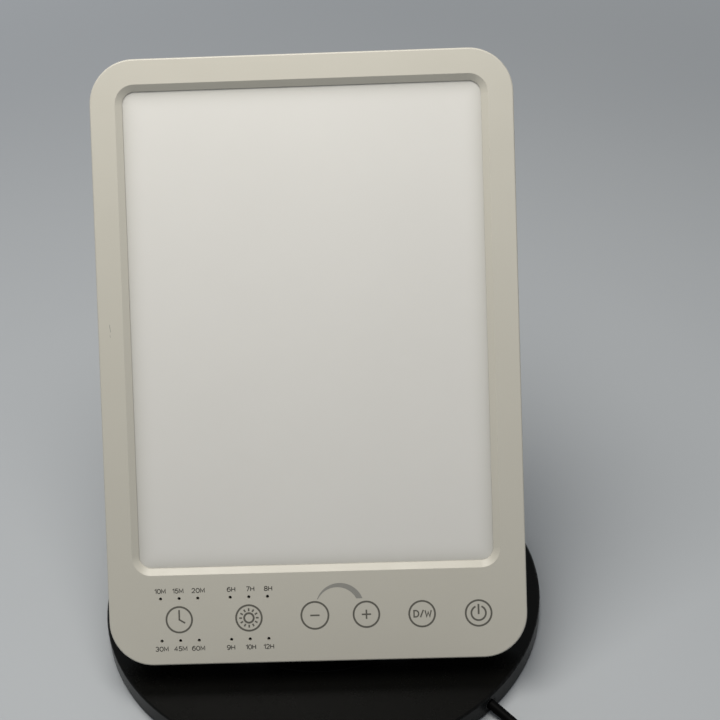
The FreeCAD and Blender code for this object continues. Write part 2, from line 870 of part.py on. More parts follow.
# ---- lead ----------------------------------------------------------------------------------------------
def lead_path(points):
    """Straight runs joined by tangent arcs, each as large as its two runs allow."""
    edges = []
    at = points[0]
    for before, corner, after in zip(points, points[1:], points[2:]):
        back = before - corner
        ahead = after - corner
        run = min(back.Length, ahead.Length)
        turn = math.pi - back.getAngle(ahead)
        radius = 0.45 * run / math.tan(turn / 2)
        print("lead radius %.1f mm" % radius)
        back.normalize()
        ahead.normalize()
        start = corner + back * 0.45 * run
        end = corner + ahead * 0.45 * run
        middle = back + ahead
        middle.normalize()
        top = corner + middle * (radius / math.cos(turn / 2) - radius)
        edges.append(Part.LineSegment(at, start).toShape())
        edges.append(Part.Arc(start, top, end).toShape())
        at = end
    edges.append(Part.LineSegment(at, points[-1]).toShape())
    return Part.Wire(edges)


def lead_solid(points):
    """Round tube along a path, with its volume compared with section times length."""
    path = lead_path(points)
    first = path.Edges[0]
    direction = first.tangentAt(first.FirstParameter)
    section = Part.Wire(Part.makeCircle(lead_radius, points[0], direction))
    solid = path.makePipeShell([section], True, False)
    print("lead volume ratio %.4f" % (solid.Volume / (math.pi * lead_radius**2 * path.Length)))
    return solid


def coil_radii():
    """Inner and outer radius of the whole coil."""
    half = coil_columns * lead_diameter / 2
    return coil_middle_radius - half, coil_middle_radius + half


def coil_turn_radius():
    """Radius of the outermost turn's middle."""
    return coil_radii()[1] - lead_radius


def coil_centre():
    """Middle of the coil on the floor, from where the lead leaves the base."""
    start = lead_line(base_radius, 0.0)
    return V(start.x + coil_from_exit[0] - coil_turn_radius(), start.y - coil_from_exit[1], 0.0)


def coil_end():
    """Place on the top layer where the lead leaves the coil."""
    return coil_centre() + V(0, -coil_turn_radius(), lead_diameter * (coil_layers - 0.5))


def adapter_face():
    """Middle of the adapter's cord side."""
    end = coil_end()
    return V(end.x + adapter_from_coil[0], end.y - adapter_from_coil[1], adapter_height / 2)


def make_lead_coil():
    """Closed ring of the put-away coil's outer shape."""
    inner, outer = coil_radii()
    height = coil_layers * lead_diameter
    body = ring(inner, outer, 0, height, coil_centre())
    rims = edges_at_height(body, 0) + edges_at_height(body, height)
    return body.makeChamfer(lead_radius / 2, rims)


def make_lead_tube():
    """Free lead from the base's wall to the coil."""
    start = lead_line(base_radius)
    joins = coil_centre() + V(coil_turn_radius(), 0, lead_radius)
    points = [V(start.x + x, start.y - front, height) for x, front, height in lead_route]
    return lead_solid([start] + points + [joins])


def make_lead_end():
    """Lead from the coil to the adapter's boot."""
    start = coil_end()
    tip = adapter_face() + V(boot_length, 0, 0)
    points = [V(start.x + x, start.y - front, height) for x, front, height in lead_end_route]
    return lead_solid([start] + points + [tip])


def make_adapter():
    """Wall adapter, lying on its long side."""
    face = adapter_face()
    y0 = face.y - adapter_width / 2
    body = box(face.x - adapter_length, face.x, y0, y0 + adapter_width, 0, adapter_height)
    upright = [e for e in body.Edges if e.BoundBox.ZLength > adapter_height / 2]
    body = body.makeFillet(adapter_corner, upright)
    rims = edges_at_height(body, 0) + edges_at_height(body, adapter_height)
    return body.makeFillet(adapter_edge_round, rims)


def make_adapter_boot():
    """Tapered strain relief on the adapter."""
    return Part.makeCone(boot_radius_at_body, boot_radius_at_lead, boot_length, adapter_face(), X_AXIS)


def make_adapter_blades():
    """The two flat blades of the plug."""
    middle = adapter_face()
    face = middle.x - adapter_length
    blades = []
    for side in (-1, 1):
        y = middle.y + side * blade_spacing / 2
        z = middle.z
        blade = box(
            face - blade_length,
            face,
            y - blade_thickness / 2,
            y + blade_thickness / 2,
            z - blade_width / 2,
            z + blade_width / 2,
        )
        tips = []
        for edge in blade.Edges:
            if edge.BoundBox.YLength > blade_thickness / 2 and edge.BoundBox.XMax < face - blade_length / 2:
                tips.append(edge)
        blades.append(blade.makeFillet(blade_tip_round, tips))
    return Part.makeCompound(blades)


nodes = {
    "base_cover": make_base_cover(),
    "base_plate": make_base_plate(),
    "base_screws": make_base_screws(),
    "foot_ring": make_foot_ring(),
    "ballast": make_ballast(),
    "lead_bush": make_bush(),
    "lead_clamp": make_lead_clamp(),
    "clamp_screws": make_clamp_screws(),
    "base_lead": lead_bore(lead_radius, lead_inner_end, base_radius),
    "thrust_washer": make_thrust_washer(),
    "turntable": make_turntable(),
    "spring_washer": make_spring_washer(),
    "hub_ring": make_hub_ring(),
    "hub_screws": make_hub_screws(),
    "pin_left": make_pin(-1),
    "pin_right": make_pin(1),
    "pin_rings": make_pin_rings(),
    "front_frame": leant(make_front_frame()),
    "diffuser": leant(make_diffuser()),
    "light_guide": leant(guide_plate(diffuser_back, guide_back)),
    "reflector": leant(guide_plate(guide_back, reflector_back)),
    "heat_plate": leant(make_heat_plate()),
    "led_bar_left": leant(make_led_bar(-1)),
    "led_bar_right": leant(make_led_bar(1)),
    "back_shell": leant(make_back_shell()),
    "control_board": leant(make_control_board()),
    "board_screws": leant(make_board_screws()),
    "touch_springs": leant(make_touch_springs()),
    "indicator_lamps": leant(make_indicator_lamps()),
    "hinge_clip_left": leant(make_hinge_clip(-1)),
    "hinge_clip_right": leant(make_hinge_clip(1)),
    "clip_screws": leant(make_clip_screws()),
    "shell_screws": leant(make_shell_screws()),
    "lead_tube": make_lead_tube(),
    "lead_coil": make_lead_coil(),
    "lead_end": make_lead_end(),
    "adapter": make_adapter(),
    "adapter_boot": make_adapter_boot(),
    "adapter_blades": make_adapter_blades(),
}

os.makedirs("parts", exist_ok=True)
for name, shape in nodes.items():
    shape.exportStep(os.path.join("parts", name + ".step"))
    print("%-18s solids %d valid %s volume %.1f" % (name, len(shape.Solids), shape.isValid(), shape.Volume))
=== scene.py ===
"""Dressed scene of a table lamp for light therapy.

The solids of the lamp come from the frame and keep their places. This script gives each of them the finish
of its real material, lays the lead with its put-away coil, prints the marks on the key strip, cuts the screw
heads, and sets the ground, the lamps and the camera.
"""

import json
import logging
import math
from dataclasses import dataclass, field
from enum import Enum
from typing import Any, Mapping, Protocol, Sequence

import bmesh
import bpy
from mathutils import Matrix, Vector

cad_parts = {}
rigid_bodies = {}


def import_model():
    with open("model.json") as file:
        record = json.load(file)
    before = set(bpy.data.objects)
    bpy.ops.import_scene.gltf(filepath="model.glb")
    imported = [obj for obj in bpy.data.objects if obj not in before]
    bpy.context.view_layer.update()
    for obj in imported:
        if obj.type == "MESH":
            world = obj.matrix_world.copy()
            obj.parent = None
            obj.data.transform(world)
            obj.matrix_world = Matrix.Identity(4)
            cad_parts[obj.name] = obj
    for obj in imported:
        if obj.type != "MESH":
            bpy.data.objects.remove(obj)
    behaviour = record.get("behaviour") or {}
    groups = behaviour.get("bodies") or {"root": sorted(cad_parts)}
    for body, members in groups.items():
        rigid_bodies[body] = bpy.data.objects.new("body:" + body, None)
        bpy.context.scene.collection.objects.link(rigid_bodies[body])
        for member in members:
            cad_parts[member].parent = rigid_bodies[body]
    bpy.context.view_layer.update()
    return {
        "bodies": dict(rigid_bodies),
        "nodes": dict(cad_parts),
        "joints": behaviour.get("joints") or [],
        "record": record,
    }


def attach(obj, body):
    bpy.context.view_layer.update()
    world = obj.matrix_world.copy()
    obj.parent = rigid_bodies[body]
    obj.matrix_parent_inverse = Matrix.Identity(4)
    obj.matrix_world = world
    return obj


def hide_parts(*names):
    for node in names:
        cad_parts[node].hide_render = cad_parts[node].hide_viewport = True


LOG = logging.getLogger("therapy_lamp")
MM = 0.001

# most values of a noise texture lie between these two
NOISE_LOW, NOISE_HIGH = 0.3, 0.7
# two places nearer than this, in millimetres, are the same
JOINED = 1e-6

Point2 = tuple[float, float]
Point3 = tuple[float, float, float]
Tree = bpy.types.NodeTree
Socket = bpy.types.NodeSocket
Ring = Sequence[bmesh.types.BMVert]


class Body(Enum):
    """Bodies of the lamp that carry the pieces made here."""

    BASE = "base"
    HEAD = "head"


# ---- shader helpers --------------------------------------------------------------------------------------
def linear(code: str) -> tuple[float, float, float, float]:
    """Turns an sRGB hex colour into linear light.

    Args:
        code: Six hex digits, with or without a leading #.

    Returns:
        Red, green, blue and an alpha of one.
    """
    digits = code.lstrip("#")
    parts = [int(digits[place : place + 2], 16) / 255 for place in (0, 2, 4)]
    red, green, blue = [p / 12.92 if p <= 0.04045 else ((p + 0.055) / 1.055) ** 2.4 for p in parts]
    return red, green, blue, 1.0


def node(
    tree: Tree, kind: str, inputs: Mapping[str | int, Any] | None = None, **settings: Any
) -> bpy.types.Node:
    """Adds one shader node with its settings, values and links.

    Args:
        tree: Node tree that gets the node.
        kind: Blender's name of the node's type.
        inputs: For each input, by name or place, a value or the output that feeds it.
        settings: Properties of the node itself.

    Returns:
        The new node.
    """
    made = tree.nodes.new(kind)
    for name, value in settings.items():
        setattr(made, name, value)
    for key, value in (inputs or {}).items():
        if isinstance(value, Socket):
            tree.links.new(value, made.inputs[key])
        else:
            made.inputs[key].default_value = value
    return made


def per_metre(size: float) -> float:
    """Noise scale whose cells are about as wide as a real size in millimetres."""
    return 1.0 / (size * MM)


def blank_material(name: str) -> tuple[bpy.types.Material, Tree, Socket]:
    """Starts a material.

    Args:
        name: The material's name.

    Returns:
        The material, its empty node tree, and the place on the object in metres.
    """
    material = bpy.data.materials.new(name)
    material.use_nodes = True
    tree = material.node_tree
    tree.nodes.clear()
    place = node(tree, "ShaderNodeTexCoord").outputs["Object"]
    return material, tree, place


class Finish(Protocol):
    """What every finish has and can do."""

    @property
    def name(self) -> str:
        """Name of the finish's material."""

    def material(self) -> bpy.types.Material:
        """Returns the finish as a new material."""


@dataclass(frozen=True)
class MouldedPlastic:
    """Injection-moulded plastic out of a spark-eroded mould.

    The mould leaves a fine even grain that spreads the highlight and takes the glassiness away. Big faces
    drift slightly in tone, and handling leaves patches that are a little smoother than the rest. Upright
    walls of a dark case can be painted a shade lighter, a painted reflection of the pale ground that such a
    wall mirrors when seen at a slant, and dust shows on a dark case's faces that look up.
    """

    name: str
    colour: str
    drift_colour: str
    roughness: float = 0.45
    roughness_spread: float = 0.05
    grain: float = 0.55
    grain_depth: float = 0.012
    grain_contrast: float = 0.6
    drift: float = 70.0
    patch: float = 14.0
    dust: float = 0.0
    dust_colour: str = "#6E6C68"
    dust_spacing: float = 3.2
    dust_speck: float = 0.05
    # painted reflection: upright walls get this lighter colour, standing in for the pale ground they mirror
    # at a slant
    wall_reflection_colour: str = ""
    wall_reflection_span: Point2 = (0.75, 0.35)
    sheen_level: float = 0.5
    ior: float = 1.53

    def material(self) -> bpy.types.Material:
        """Builds the finish.

        Returns:
            A new material.
        """
        material, tree, place = blank_material(self.name)
        drift = node(
            tree, "ShaderNodeTexNoise", {"Vector": place, "Scale": per_metre(self.drift), "Detail": 3.0}
        )
        tone = node(
            tree,
            "ShaderNodeMix",
            {0: drift.outputs["Fac"], 6: linear(self.colour), 7: linear(self.drift_colour)},
            data_type="RGBA",
        )
        colour = tone.outputs[2]
        # painted reflection: the upright walls are painted lighter than the top
        if self.wall_reflection_colour:
            colour = self.painted_wall_reflection(tree, colour)
        if self.dust:
            colour = self.dusted(tree, place, colour)
        # the grit is about 0.1 mm on the real part and is drawn coarser, so that it still shows
        grit = {"Scale": per_metre(self.grain), "Detail": 2.0, "Roughness": self.grain_contrast}
        grain = node(tree, "ShaderNodeTexNoise", {"Vector": place, **grit})
        patch = node(
            tree, "ShaderNodeTexNoise", {"Vector": place, "Scale": per_metre(self.patch), "Detail": 4.0}
        )
        rough = node(
            tree,
            "ShaderNodeMapRange",
            {
                "Value": patch.outputs["Fac"],
                "From Min": NOISE_LOW,
                "From Max": NOISE_HIGH,
                "To Min": self.roughness - self.roughness_spread,
                "To Max": self.roughness + self.roughness_spread,
            },
        )
        bump = node(
            tree,
            "ShaderNodeBump",
            {"Height": grain.outputs["Fac"], "Distance": self.grain_depth * MM, "Strength": 1.0},
        )
        shader = node(
            tree,
            "ShaderNodeBsdfPrincipled",
            {
                "Base Color": colour,
                "Roughness": rough.outputs["Result"],
                "IOR": self.ior,
                "Specular IOR Level": self.sheen_level,
                "Normal": bump.outputs["Normal"],
            },
        )
        node(tree, "ShaderNodeOutputMaterial", {"Surface": shader.outputs[0]})
        return material

    def upward(self, tree: Tree) -> Socket:
        """Returns how far each face of the resting lamp looks up, from minus one to one."""
        normal = node(tree, "ShaderNodeTexCoord").outputs["Normal"]
        return node(tree, "ShaderNodeSeparateXYZ", {"Vector": normal}).outputs["Z"]

    def painted_wall_reflection(self, tree: Tree, colour: Socket) -> Socket:
        """Paints the upright walls a shade lighter, a painted reflection of the pale ground.

        Args:
            tree: The material's node tree.
            colour: The plastic's own colour.

        Returns:
            The colour with its walls painted lighter, a painted reflection.
        """
        level = node(tree, "ShaderNodeMath", {0: self.upward(tree)}, operation="ABSOLUTE")
        flat, upright = self.wall_reflection_span
        share = node(
            tree, "ShaderNodeMapRange", {"Value": level.outputs[0], "From Min": flat, "From Max": upright}
        )
        mixed = node(
            tree,
            "ShaderNodeMix",
            {0: share.outputs["Result"], 6: colour, 7: linear(self.wall_reflection_colour)},
            data_type="RGBA",
        )
        return mixed.outputs[2]

    def dusted(self, tree: Tree, place: Socket, colour: Socket) -> Socket:
        """Adds the faint specks that settle on a dark case.

        Args:
            tree: The material's node tree.
            place: Place on the object, in metres.
            colour: The plastic's own colour.

        Returns:
            The colour with dust on the faces that look up.
        """
        spacing = per_metre(self.dust_spacing)
        specks = node(tree, "ShaderNodeTexVoronoi", {"Vector": place, "Scale": spacing, "Randomness": 1.0})
        near = node(
            tree,
            "ShaderNodeMapRange",
            {
                "Value": specks.outputs["Distance"],
                "From Min": self.dust_speck,
                "From Max": 0.0,
                "To Max": self.dust,
            },
        )
        shares = {0: near.outputs["Result"], 1: self.upward(tree)}
        amount = node(tree, "ShaderNodeMath", shares, operation="MULTIPLY", use_clamp=True)
        mixed = node(
            tree,
            "ShaderNodeMix",
            {0: amount.outputs[0], 6: colour, 7: linear(self.dust_colour)},
            data_type="RGBA",
        )
        return mixed.outputs[2]


@dataclass(frozen=True)
class OpalAcrylic:
    """Cast acrylic with white pigment and a matt face.

    Light goes a few millimetres into the sheet before it comes back, which makes it look soft and evenly
    white, and the matt face shows no reflections. Within a centimetre of the window's edge the sheet is
    painted a little greyer: painted shade for the frame's lip, which keeps light off it there.
    """

    name: str
    colour: str
    depth_colour: str
    # painted shade: the sheet's colour at the window's edge, where the frame's lip keeps light off it
    edge_shade_colour: str
    window_half: float = 76.4
    window_low: float = 41.8
    window_high: float = 246.4
    shade_reach: float = 11.0
    shade_fall: float = 3.0
    corner_blend: float = 4.0
    roughness: float = 0.52
    scatter: float = 0.35
    scatter_depth: float = 1.6
    scatter_tint: Point3 = (1.0, 1.0, 0.95)
    cloud: float = 55.0
    grain: float = 0.5
    grain_depth: float = 0.006
    ior: float = 1.49

    def painted_edge_shade(self, tree: Tree, place: Socket) -> Socket:
        """Tells how much painted shade a place on the sheet gets near the window's edge.

        Args:
            tree: The material's node tree.
            place: Place on the object, in metres.

        Returns:
            One at the edge, falling to nothing where the sheet is evenly lit.
        """
        plane = HeadPlane()
        turn = node(
            tree,
            "ShaderNodeMapping",
            {
                "Vector": place,
                "Location": (0.0, -plane.edge_ahead * MM, plane.edge_height * MM),
                "Rotation": (math.radians(-plane.lean), 0.0, 0.0),
            },
            vector_type="TEXTURE",
        )
        parts = node(tree, "ShaderNodeSeparateXYZ", {"Vector": turn.outputs["Vector"]})
        middle = (self.window_low + self.window_high) / 2
        half_high = (self.window_high - self.window_low) / 2
        offset = node(
            tree, "ShaderNodeMath", {0: parts.outputs["Z"], 1: middle * MM}, operation="SUBTRACT"
        )
        distances = []
        for half, value in ((self.window_half, parts.outputs["X"]), (half_high, offset.outputs[0])):
            away = node(tree, "ShaderNodeMath", {0: value}, operation="ABSOLUTE")
            inside = {0: half * MM, 1: away.outputs[0]}
            distances.append(node(tree, "ShaderNodeMath", inside, operation="SUBTRACT").outputs[0])
        nearest = node(
            tree,
            "ShaderNodeMath",
            {0: distances[0], 1: distances[1], 2: self.corner_blend * MM},
            operation="SMOOTH_MIN",
        )
        share = node(
            tree,
            "ShaderNodeMapRange",
            {"Value": nearest.outputs[0], "From Min": self.shade_reach * MM, "From Max": 0.0},
        )
        falling = {0: share.outputs["Result"], 1: self.shade_fall}
        return node(tree, "ShaderNodeMath", falling, operation="POWER").outputs[0]

    def material(self) -> bpy.types.Material:
        """Builds the finish.

        Returns:
            A new material.
        """
        material, tree, place = blank_material(self.name)
        cloud = node(
            tree, "ShaderNodeTexNoise", {"Vector": place, "Scale": per_metre(self.cloud), "Detail": 4.0}
        )
        tone = node(
            tree,
            "ShaderNodeMix",
            {0: cloud.outputs["Fac"], 6: linear(self.colour), 7: linear(self.depth_colour)},
            data_type="RGBA",
        )
        # painted shade: the sheet turns greyer towards the window's edge
        shaded = node(
            tree,
            "ShaderNodeMix",
            {0: self.painted_edge_shade(tree, place), 6: tone.outputs[2], 7: linear(self.edge_shade_colour)},
            data_type="RGBA",
        )
        grain = node(
            tree, "ShaderNodeTexNoise", {"Vector": place, "Scale": per_metre(self.grain), "Detail": 2.0}
        )
        bump = node(
            tree,
            "ShaderNodeBump",
            {"Height": grain.outputs["Fac"], "Distance": self.grain_depth * MM, "Strength": 1.0},
        )
        shader = node(
            tree,
            "ShaderNodeBsdfPrincipled",
            {
                "Base Color": shaded.outputs[2],
                "Roughness": self.roughness,
                "IOR": self.ior,
                "Subsurface Weight": self.scatter,
                "Subsurface Radius": self.scatter_tint,
                "Subsurface Scale": self.scatter_depth * MM,
                "Normal": bump.outputs["Normal"],
            },
        )
        node(tree, "ShaderNodeOutputMaterial", {"Surface": shader.outputs[0]})
        return material


@dataclass(frozen=True)
class ClearAcrylic:
    """Polished clear sheet, which shows what lies behind it with a faint edge tint."""

    name: str
    colour: str
    roughness: float = 0.06
    roughness_spread: float = 0.08
    haze: float = 8.0
    clarity: float = 0.9
    ior: float = 1.49

    def material(self) -> bpy.types.Material:
        """Builds the finish.

        Returns:
            A new material.
        """
        material, tree, place = blank_material(self.name)
        haze = node(
            tree, "ShaderNodeTexNoise", {"Vector": place, "Scale": per_metre(self.haze), "Detail": 3.0}
        )
        low, high = self.roughness, self.roughness + self.roughness_spread
        rough = node(
            tree, "ShaderNodeMapRange", {"Value": haze.outputs["Fac"], "To Min": low, "To Max": high}
        )
        shader = node(
            tree,
            "ShaderNodeBsdfPrincipled",
            {
                "Base Color": linear(self.colour),
                "Roughness": rough.outputs["Result"],
                "IOR": self.ior,
                "Transmission Weight": self.clarity,
            },
        )
        node(tree, "ShaderNodeOutputMaterial", {"Surface": shader.outputs[0]})
        return material


@dataclass(frozen=True)
class Metal:
    """Sheet or turned metal.

    Rolling and turning leave fine lines that draw the highlight out along them, and plating dulls in
    cloudy patches.
    """

    name: str
    colour: str
    cloud_colour: str
    roughness: float
    smoother: float = 0.06
    duller: float = 0.08
    line: float = 0.3
    line_length: float = 9.0
    line_depth: float = 0.004
    cloud: float = 6.0

    def material(self) -> bpy.types.Material:
        """Builds the finish.

        Returns:
            A new material.
        """
        material, tree, place = blank_material(self.name)
        cloud = node(
            tree, "ShaderNodeTexNoise", {"Vector": place, "Scale": per_metre(self.cloud), "Detail": 5.0}
        )
        tone = node(
            tree,
            "ShaderNodeMix",
            {0: cloud.outputs["Fac"], 6: linear(self.colour), 7: linear(self.cloud_colour)},
            data_type="RGBA",
        )
        rough = node(
            tree,
            "ShaderNodeMapRange",
            {
                "Value": cloud.outputs["Fac"],
                "From Min": NOISE_LOW,
                "From Max": NOISE_HIGH,
                "To Min": self.roughness - self.smoother,
                "To Max": self.roughness + self.duller,
            },
        )
        stretch = (per_metre(self.line_length), per_metre(self.line), per_metre(self.line))
        drawn = node(tree, "ShaderNodeMapping", {"Vector": place, "Scale": stretch})
        lines = node(
            tree, "ShaderNodeTexNoise", {"Vector": drawn.outputs["Vector"], "Scale": 1.0, "Detail": 2.0}
        )
        bump = node(
            tree,
            "ShaderNodeBump",
            {"Height": lines.outputs["Fac"], "Distance": self.line_depth * MM, "Strength": 1.0},
        )
        shader = node(
            tree,
            "ShaderNodeBsdfPrincipled",
            {
                "Base Color": tone.outputs[2],
                "Metallic": 1.0,
                "Roughness": rough.outputs["Result"],
                "Normal": bump.outputs["Normal"],
            },
        )
        node(tree, "ShaderNodeOutputMaterial", {"Surface": shader.outputs[0]})
        return material


@dataclass(frozen=True)
class Rubber:
    """Soft vinyl or rubber out of a fine-grained mould.

    It hardly reflects, and what it does reflect is spread wide, so its round pieces show one broad soft
    light along the top.
    """

    name: str
    colour: str
    rub_colour: str
    roughness: float = 0.6
    roughness_spread: float = 0.07
    sheen: float = 0.12
    sheen_roughness: float = 0.5
    sheen_level: float = 0.5
    rub: float = 9.0
    grain: float = 0.4
    grain_depth: float = 0.02
    grain_strength: float = 0.8
    ior: float = 1.5

    def material(self) -> bpy.types.Material:
        """Builds the finish.

        Returns:
            A new material.
        """
        material, tree, place = blank_material(self.name)
        rub = node(
            tree, "ShaderNodeTexNoise", {"Vector": place, "Scale": per_metre(self.rub), "Detail": 5.0}
        )
        tone = node(
            tree,
            "ShaderNodeMix",
            {0: rub.outputs["Fac"], 6: linear(self.colour), 7: linear(self.rub_colour)},
            data_type="RGBA",
        )
        grain = node(
            tree, "ShaderNodeTexNoise", {"Vector": place, "Scale": per_metre(self.grain), "Detail": 3.0}
        )
        relief = {"Distance": self.grain_depth * MM, "Strength": self.grain_strength}
        bump = node(tree, "ShaderNodeBump", {"Height": grain.outputs["Fac"], **relief})
        rough = node(
            tree,
            "ShaderNodeMapRange",
            {
                "Value": rub.outputs["Fac"],
                "From Min": NOISE_LOW,
                "From Max": NOISE_HIGH,
                "To Min": self.roughness - self.roughness_spread,
                "To Max": self.roughness + self.roughness_spread,
            },
        )
        shader = node(
            tree,
            "ShaderNodeBsdfPrincipled",
            {
                "Base Color": tone.outputs[2],
                "Roughness": rough.outputs["Result"],
                "IOR": self.ior,
                "Specular IOR Level": self.sheen_level,
                "Sheen Weight": self.sheen,
                "Sheen Roughness": self.sheen_roughness,
                "Normal": bump.outputs["Normal"],
            },
        )
        node(tree, "ShaderNodeOutputMaterial", {"Surface": shader.outputs[0]})
        return material


@dataclass(frozen=True)
class PrintedInk:
    """Pad-printed ink, a thin semi-matt film whose edge is crisp and whose tone is nearly even."""

    name: str
    colour: str
    thin_colour: str
    film: float = 0.9
    roughness: float = 0.5
    ior: float = 1.48

    def material(self) -> bpy.types.Material:
        """Builds the finish.

        Returns:
            A new material.
        """
        material, tree, place = blank_material(self.name)
        film = node(
            tree, "ShaderNodeTexNoise", {"Vector": place, "Scale": per_metre(self.film), "Detail": 3.0}
        )
        tone = node(
            tree,
            "ShaderNodeMix",
            {0: film.outputs["Fac"], 6: linear(self.colour), 7: linear(self.thin_colour)},
            data_type="RGBA",
        )
        shader = node(
            tree,
            "ShaderNodeBsdfPrincipled",
            {"Base Color": tone.outputs[2], "Roughness": self.roughness, "IOR": self.ior},
        )
        node(tree, "ShaderNodeOutputMaterial", {"Surface": shader.outputs[0]})
        return material


@dataclass(frozen=True)
class WovenTape:
    """Hook-and-loop tape, a dark nap of short loops in close rows that swallows the light."""

    name: str
    colour: str
    nap_colour: str
    row: float = 0.8
    disorder: float = 0.7
    nap_depth: float = 0.25
    nap_strength: float = 0.9
    roughness: float = 0.9
    sheen: float = 0.4

    def material(self) -> bpy.types.Material:
        """Builds the finish.

        Returns:
            A new material.
        """
        material, tree, place = blank_material(self.name)
        weave = {"Scale": per_metre(self.row), "Randomness": self.disorder}
        loops = node(tree, "ShaderNodeTexVoronoi", {"Vector": place, **weave})
        tone = node(
            tree,
            "ShaderNodeMix",
            {0: loops.outputs["Distance"], 6: linear(self.colour), 7: linear(self.nap_colour)},
            data_type="RGBA",
        )
        relief = {"Distance": self.nap_depth * MM, "Strength": self.nap_strength}
        bump = node(tree, "ShaderNodeBump", {"Height": loops.outputs["Distance"], **relief})
        shader = node(
            tree,
            "ShaderNodeBsdfPrincipled",
            {
                "Base Color": tone.outputs[2],
                "Roughness": self.roughness,
                "Sheen Weight": self.sheen,
                "Normal": bump.outputs["Normal"],
            },
        )
        node(tree, "ShaderNodeOutputMaterial", {"Surface": shader.outputs[0]})
        return material


# ---- the lamp's finishes ---------------------------------------------------------------------------------
CREAM_ABS = MouldedPlastic("cream_moulded_abs", "#BCB9AE", "#B8B5AA", roughness=0.42)
BLACK_ABS = MouldedPlastic(
    "black_moulded_abs",
    "#060605",
    "#090908",
    roughness=0.28,
    roughness_spread=0.02,
    grain=0.5,
    grain_depth=0.007,
    dust=0.14,
    # painted reflection: the base's walls are painted lighter than its top
    wall_reflection_colour="#1E1F1F",
    sheen_level=0.07,
)
# the third colour is the painted shade at the window's edge
OPAL = OpalAcrylic("opal_cast_acrylic", "#D4D3CF", "#D0CFCB", "#BBBAB4")
CLEAR = ClearAcrylic("clear_extruded_acrylic", "#F4F8F6")
FILM = MouldedPlastic("white_polyester_film", "#EFEFEC", "#E8E8E4", roughness=0.35, grain_depth=0.004)
ACETAL = MouldedPlastic("white_acetal", "#E6E4DC", "#DDDAD0", roughness=0.32, grain_depth=0.006)
ZINC = Metal("zinc_plated_steel", "#C9CBCE", "#A9ACB2", roughness=0.3)
ALUMINIUM = Metal("rolled_aluminium", "#D4D5D6", "#C2C4C6", roughness=0.34, line=0.5, line_length=40.0)
NICKEL = Metal("nickel_plated_brass", "#CDC8BA", "#B9B3A3", roughness=0.38, line=0.4)
BOARD_GREEN = MouldedPlastic("green_solder_resist", "#1F5A33", "#1A4D2C", roughness=0.28, grain=1.2)
BOARD_WHITE = MouldedPlastic("white_solder_resist", "#E4E4DE", "#D9D9D2", roughness=0.3, grain=1.2)
SMOKED = MouldedPlastic("smoked_epoxy", "#141413", "#1C1B1A", roughness=0.25, grain_depth=0.002)
BLACK_RUBBER = Rubber("black_nitrile_rubber", "#161615", "#1F1E1D", roughness=0.68)
BLACK_VINYL = Rubber(
    "black_vinyl_lead", "#040404", "#070707", roughness=0.5, sheen=0.0, sheen_level=0.03, grain_depth=0.01
)
KEY_INK = PrintedInk("grey_key_ink", "#55534B", "#5D5B53")
LABEL_INK = PrintedInk("dark_label_ink", "#2B2924", "#35322C")
BAND_INK = PrintedInk("pale_grey_band_ink", "#86857F", "#8D8C86")
TAPE = WovenTape("black_hook_and_loop_tape", "#0E0E0E", "#242424")


@dataclass
class Wardrobe:
    """Gives the frame's solids their finishes, one material for each of the frame's material slots."""

    finishes: Mapping[str, Finish] = field(
        default_factory=lambda: {
            "black_plastic": BLACK_ABS,
            "light_grey_plastic": CREAM_ABS,
            "zinc_steel": ZINC,
            "black_rubber": BLACK_RUBBER,
            "black_cable": BLACK_VINYL,
            "white_acetal": ACETAL,
            "opal_acrylic": OPAL,
            "clear_acrylic": CLEAR,
            "white_film": FILM,
            "aluminium": ALUMINIUM,
            "white_board": BOARD_WHITE,
            "green_board": BOARD_GREEN,
            "dark_lamp": SMOKED,
            "brass": NICKEL,
        }
    )
    made: dict[str, bpy.types.Material] = field(default_factory=dict)

    def material(self, finish: Finish) -> bpy.types.Material:
        """Returns a finish's material, made once.

        Args:
            finish: One of the lamp's finishes.

        Returns:
            The material shared by every piece with that finish.
        """
        if finish.name not in self.made:
            self.made[finish.name] = finish.material()
        return self.made[finish.name]

    def dress(self, frame: Mapping[str, Any]) -> None:
        """Puts a finish on every solid of the frame.

        Args:
            frame: What the frame's loader returns.
        """
        slot_of = {part["node"]: part["material_slot"] for part in frame["record"]["subparts"]}
        for name, solid in frame["nodes"].items():
            finish = self.finishes[slot_of[name]]
            solid.data.materials.clear()
            solid.data.materials.append(self.material(finish))
            LOG.info("dressed %s in %s", name, finish.name)


# ---- mesh helpers ----------------------------------------------------------------------------------------
def put(name: str, data: bpy.types.ID) -> bpy.types.Object:
    """Puts an object into the scene.

    Args:
        name: The object's name.
        data: Its mesh, curve, light or camera.

    Returns:
        The new object.
    """
    item = bpy.data.objects.new(name, data)
    bpy.context.scene.collection.objects.link(item)
    return item


def mesh_piece(
    name: str, shape: bmesh.types.BMesh, material: bpy.types.Material, body: Body
) -> bpy.types.Object:
    """Turns a bmesh into a piece that rides on a body.

    Args:
        name: The piece's name.
        shape: Its shape in metres; it is freed.
        material: Its material.
        body: The body that carries it.

    Returns:
        The new object.
    """
    bmesh.ops.recalc_face_normals(shape, faces=shape.faces)
    mesh = bpy.data.meshes.new(name)
    shape.to_mesh(mesh)
    shape.free()
    mesh.materials.append(material)
    piece = put(name, mesh)
    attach(piece, body.value)
    LOG.info("%s rides on %s with %d faces", name, body.value, len(mesh.polygons))
    return piece


def skin(shape: bmesh.types.BMesh, rings: Sequence[Ring]) -> None:
    """Closes the band between each ring of vertices and the next.

    Args:
        shape: The mesh.
        rings: Rings of as many vertices each.
    """
    for near, far in zip(rings, rings[1:]):
        for step in range(len(near)):
            after = (step + 1) % len(near)
            shape.faces.new((near[step], near[after], far[after], far[step]))


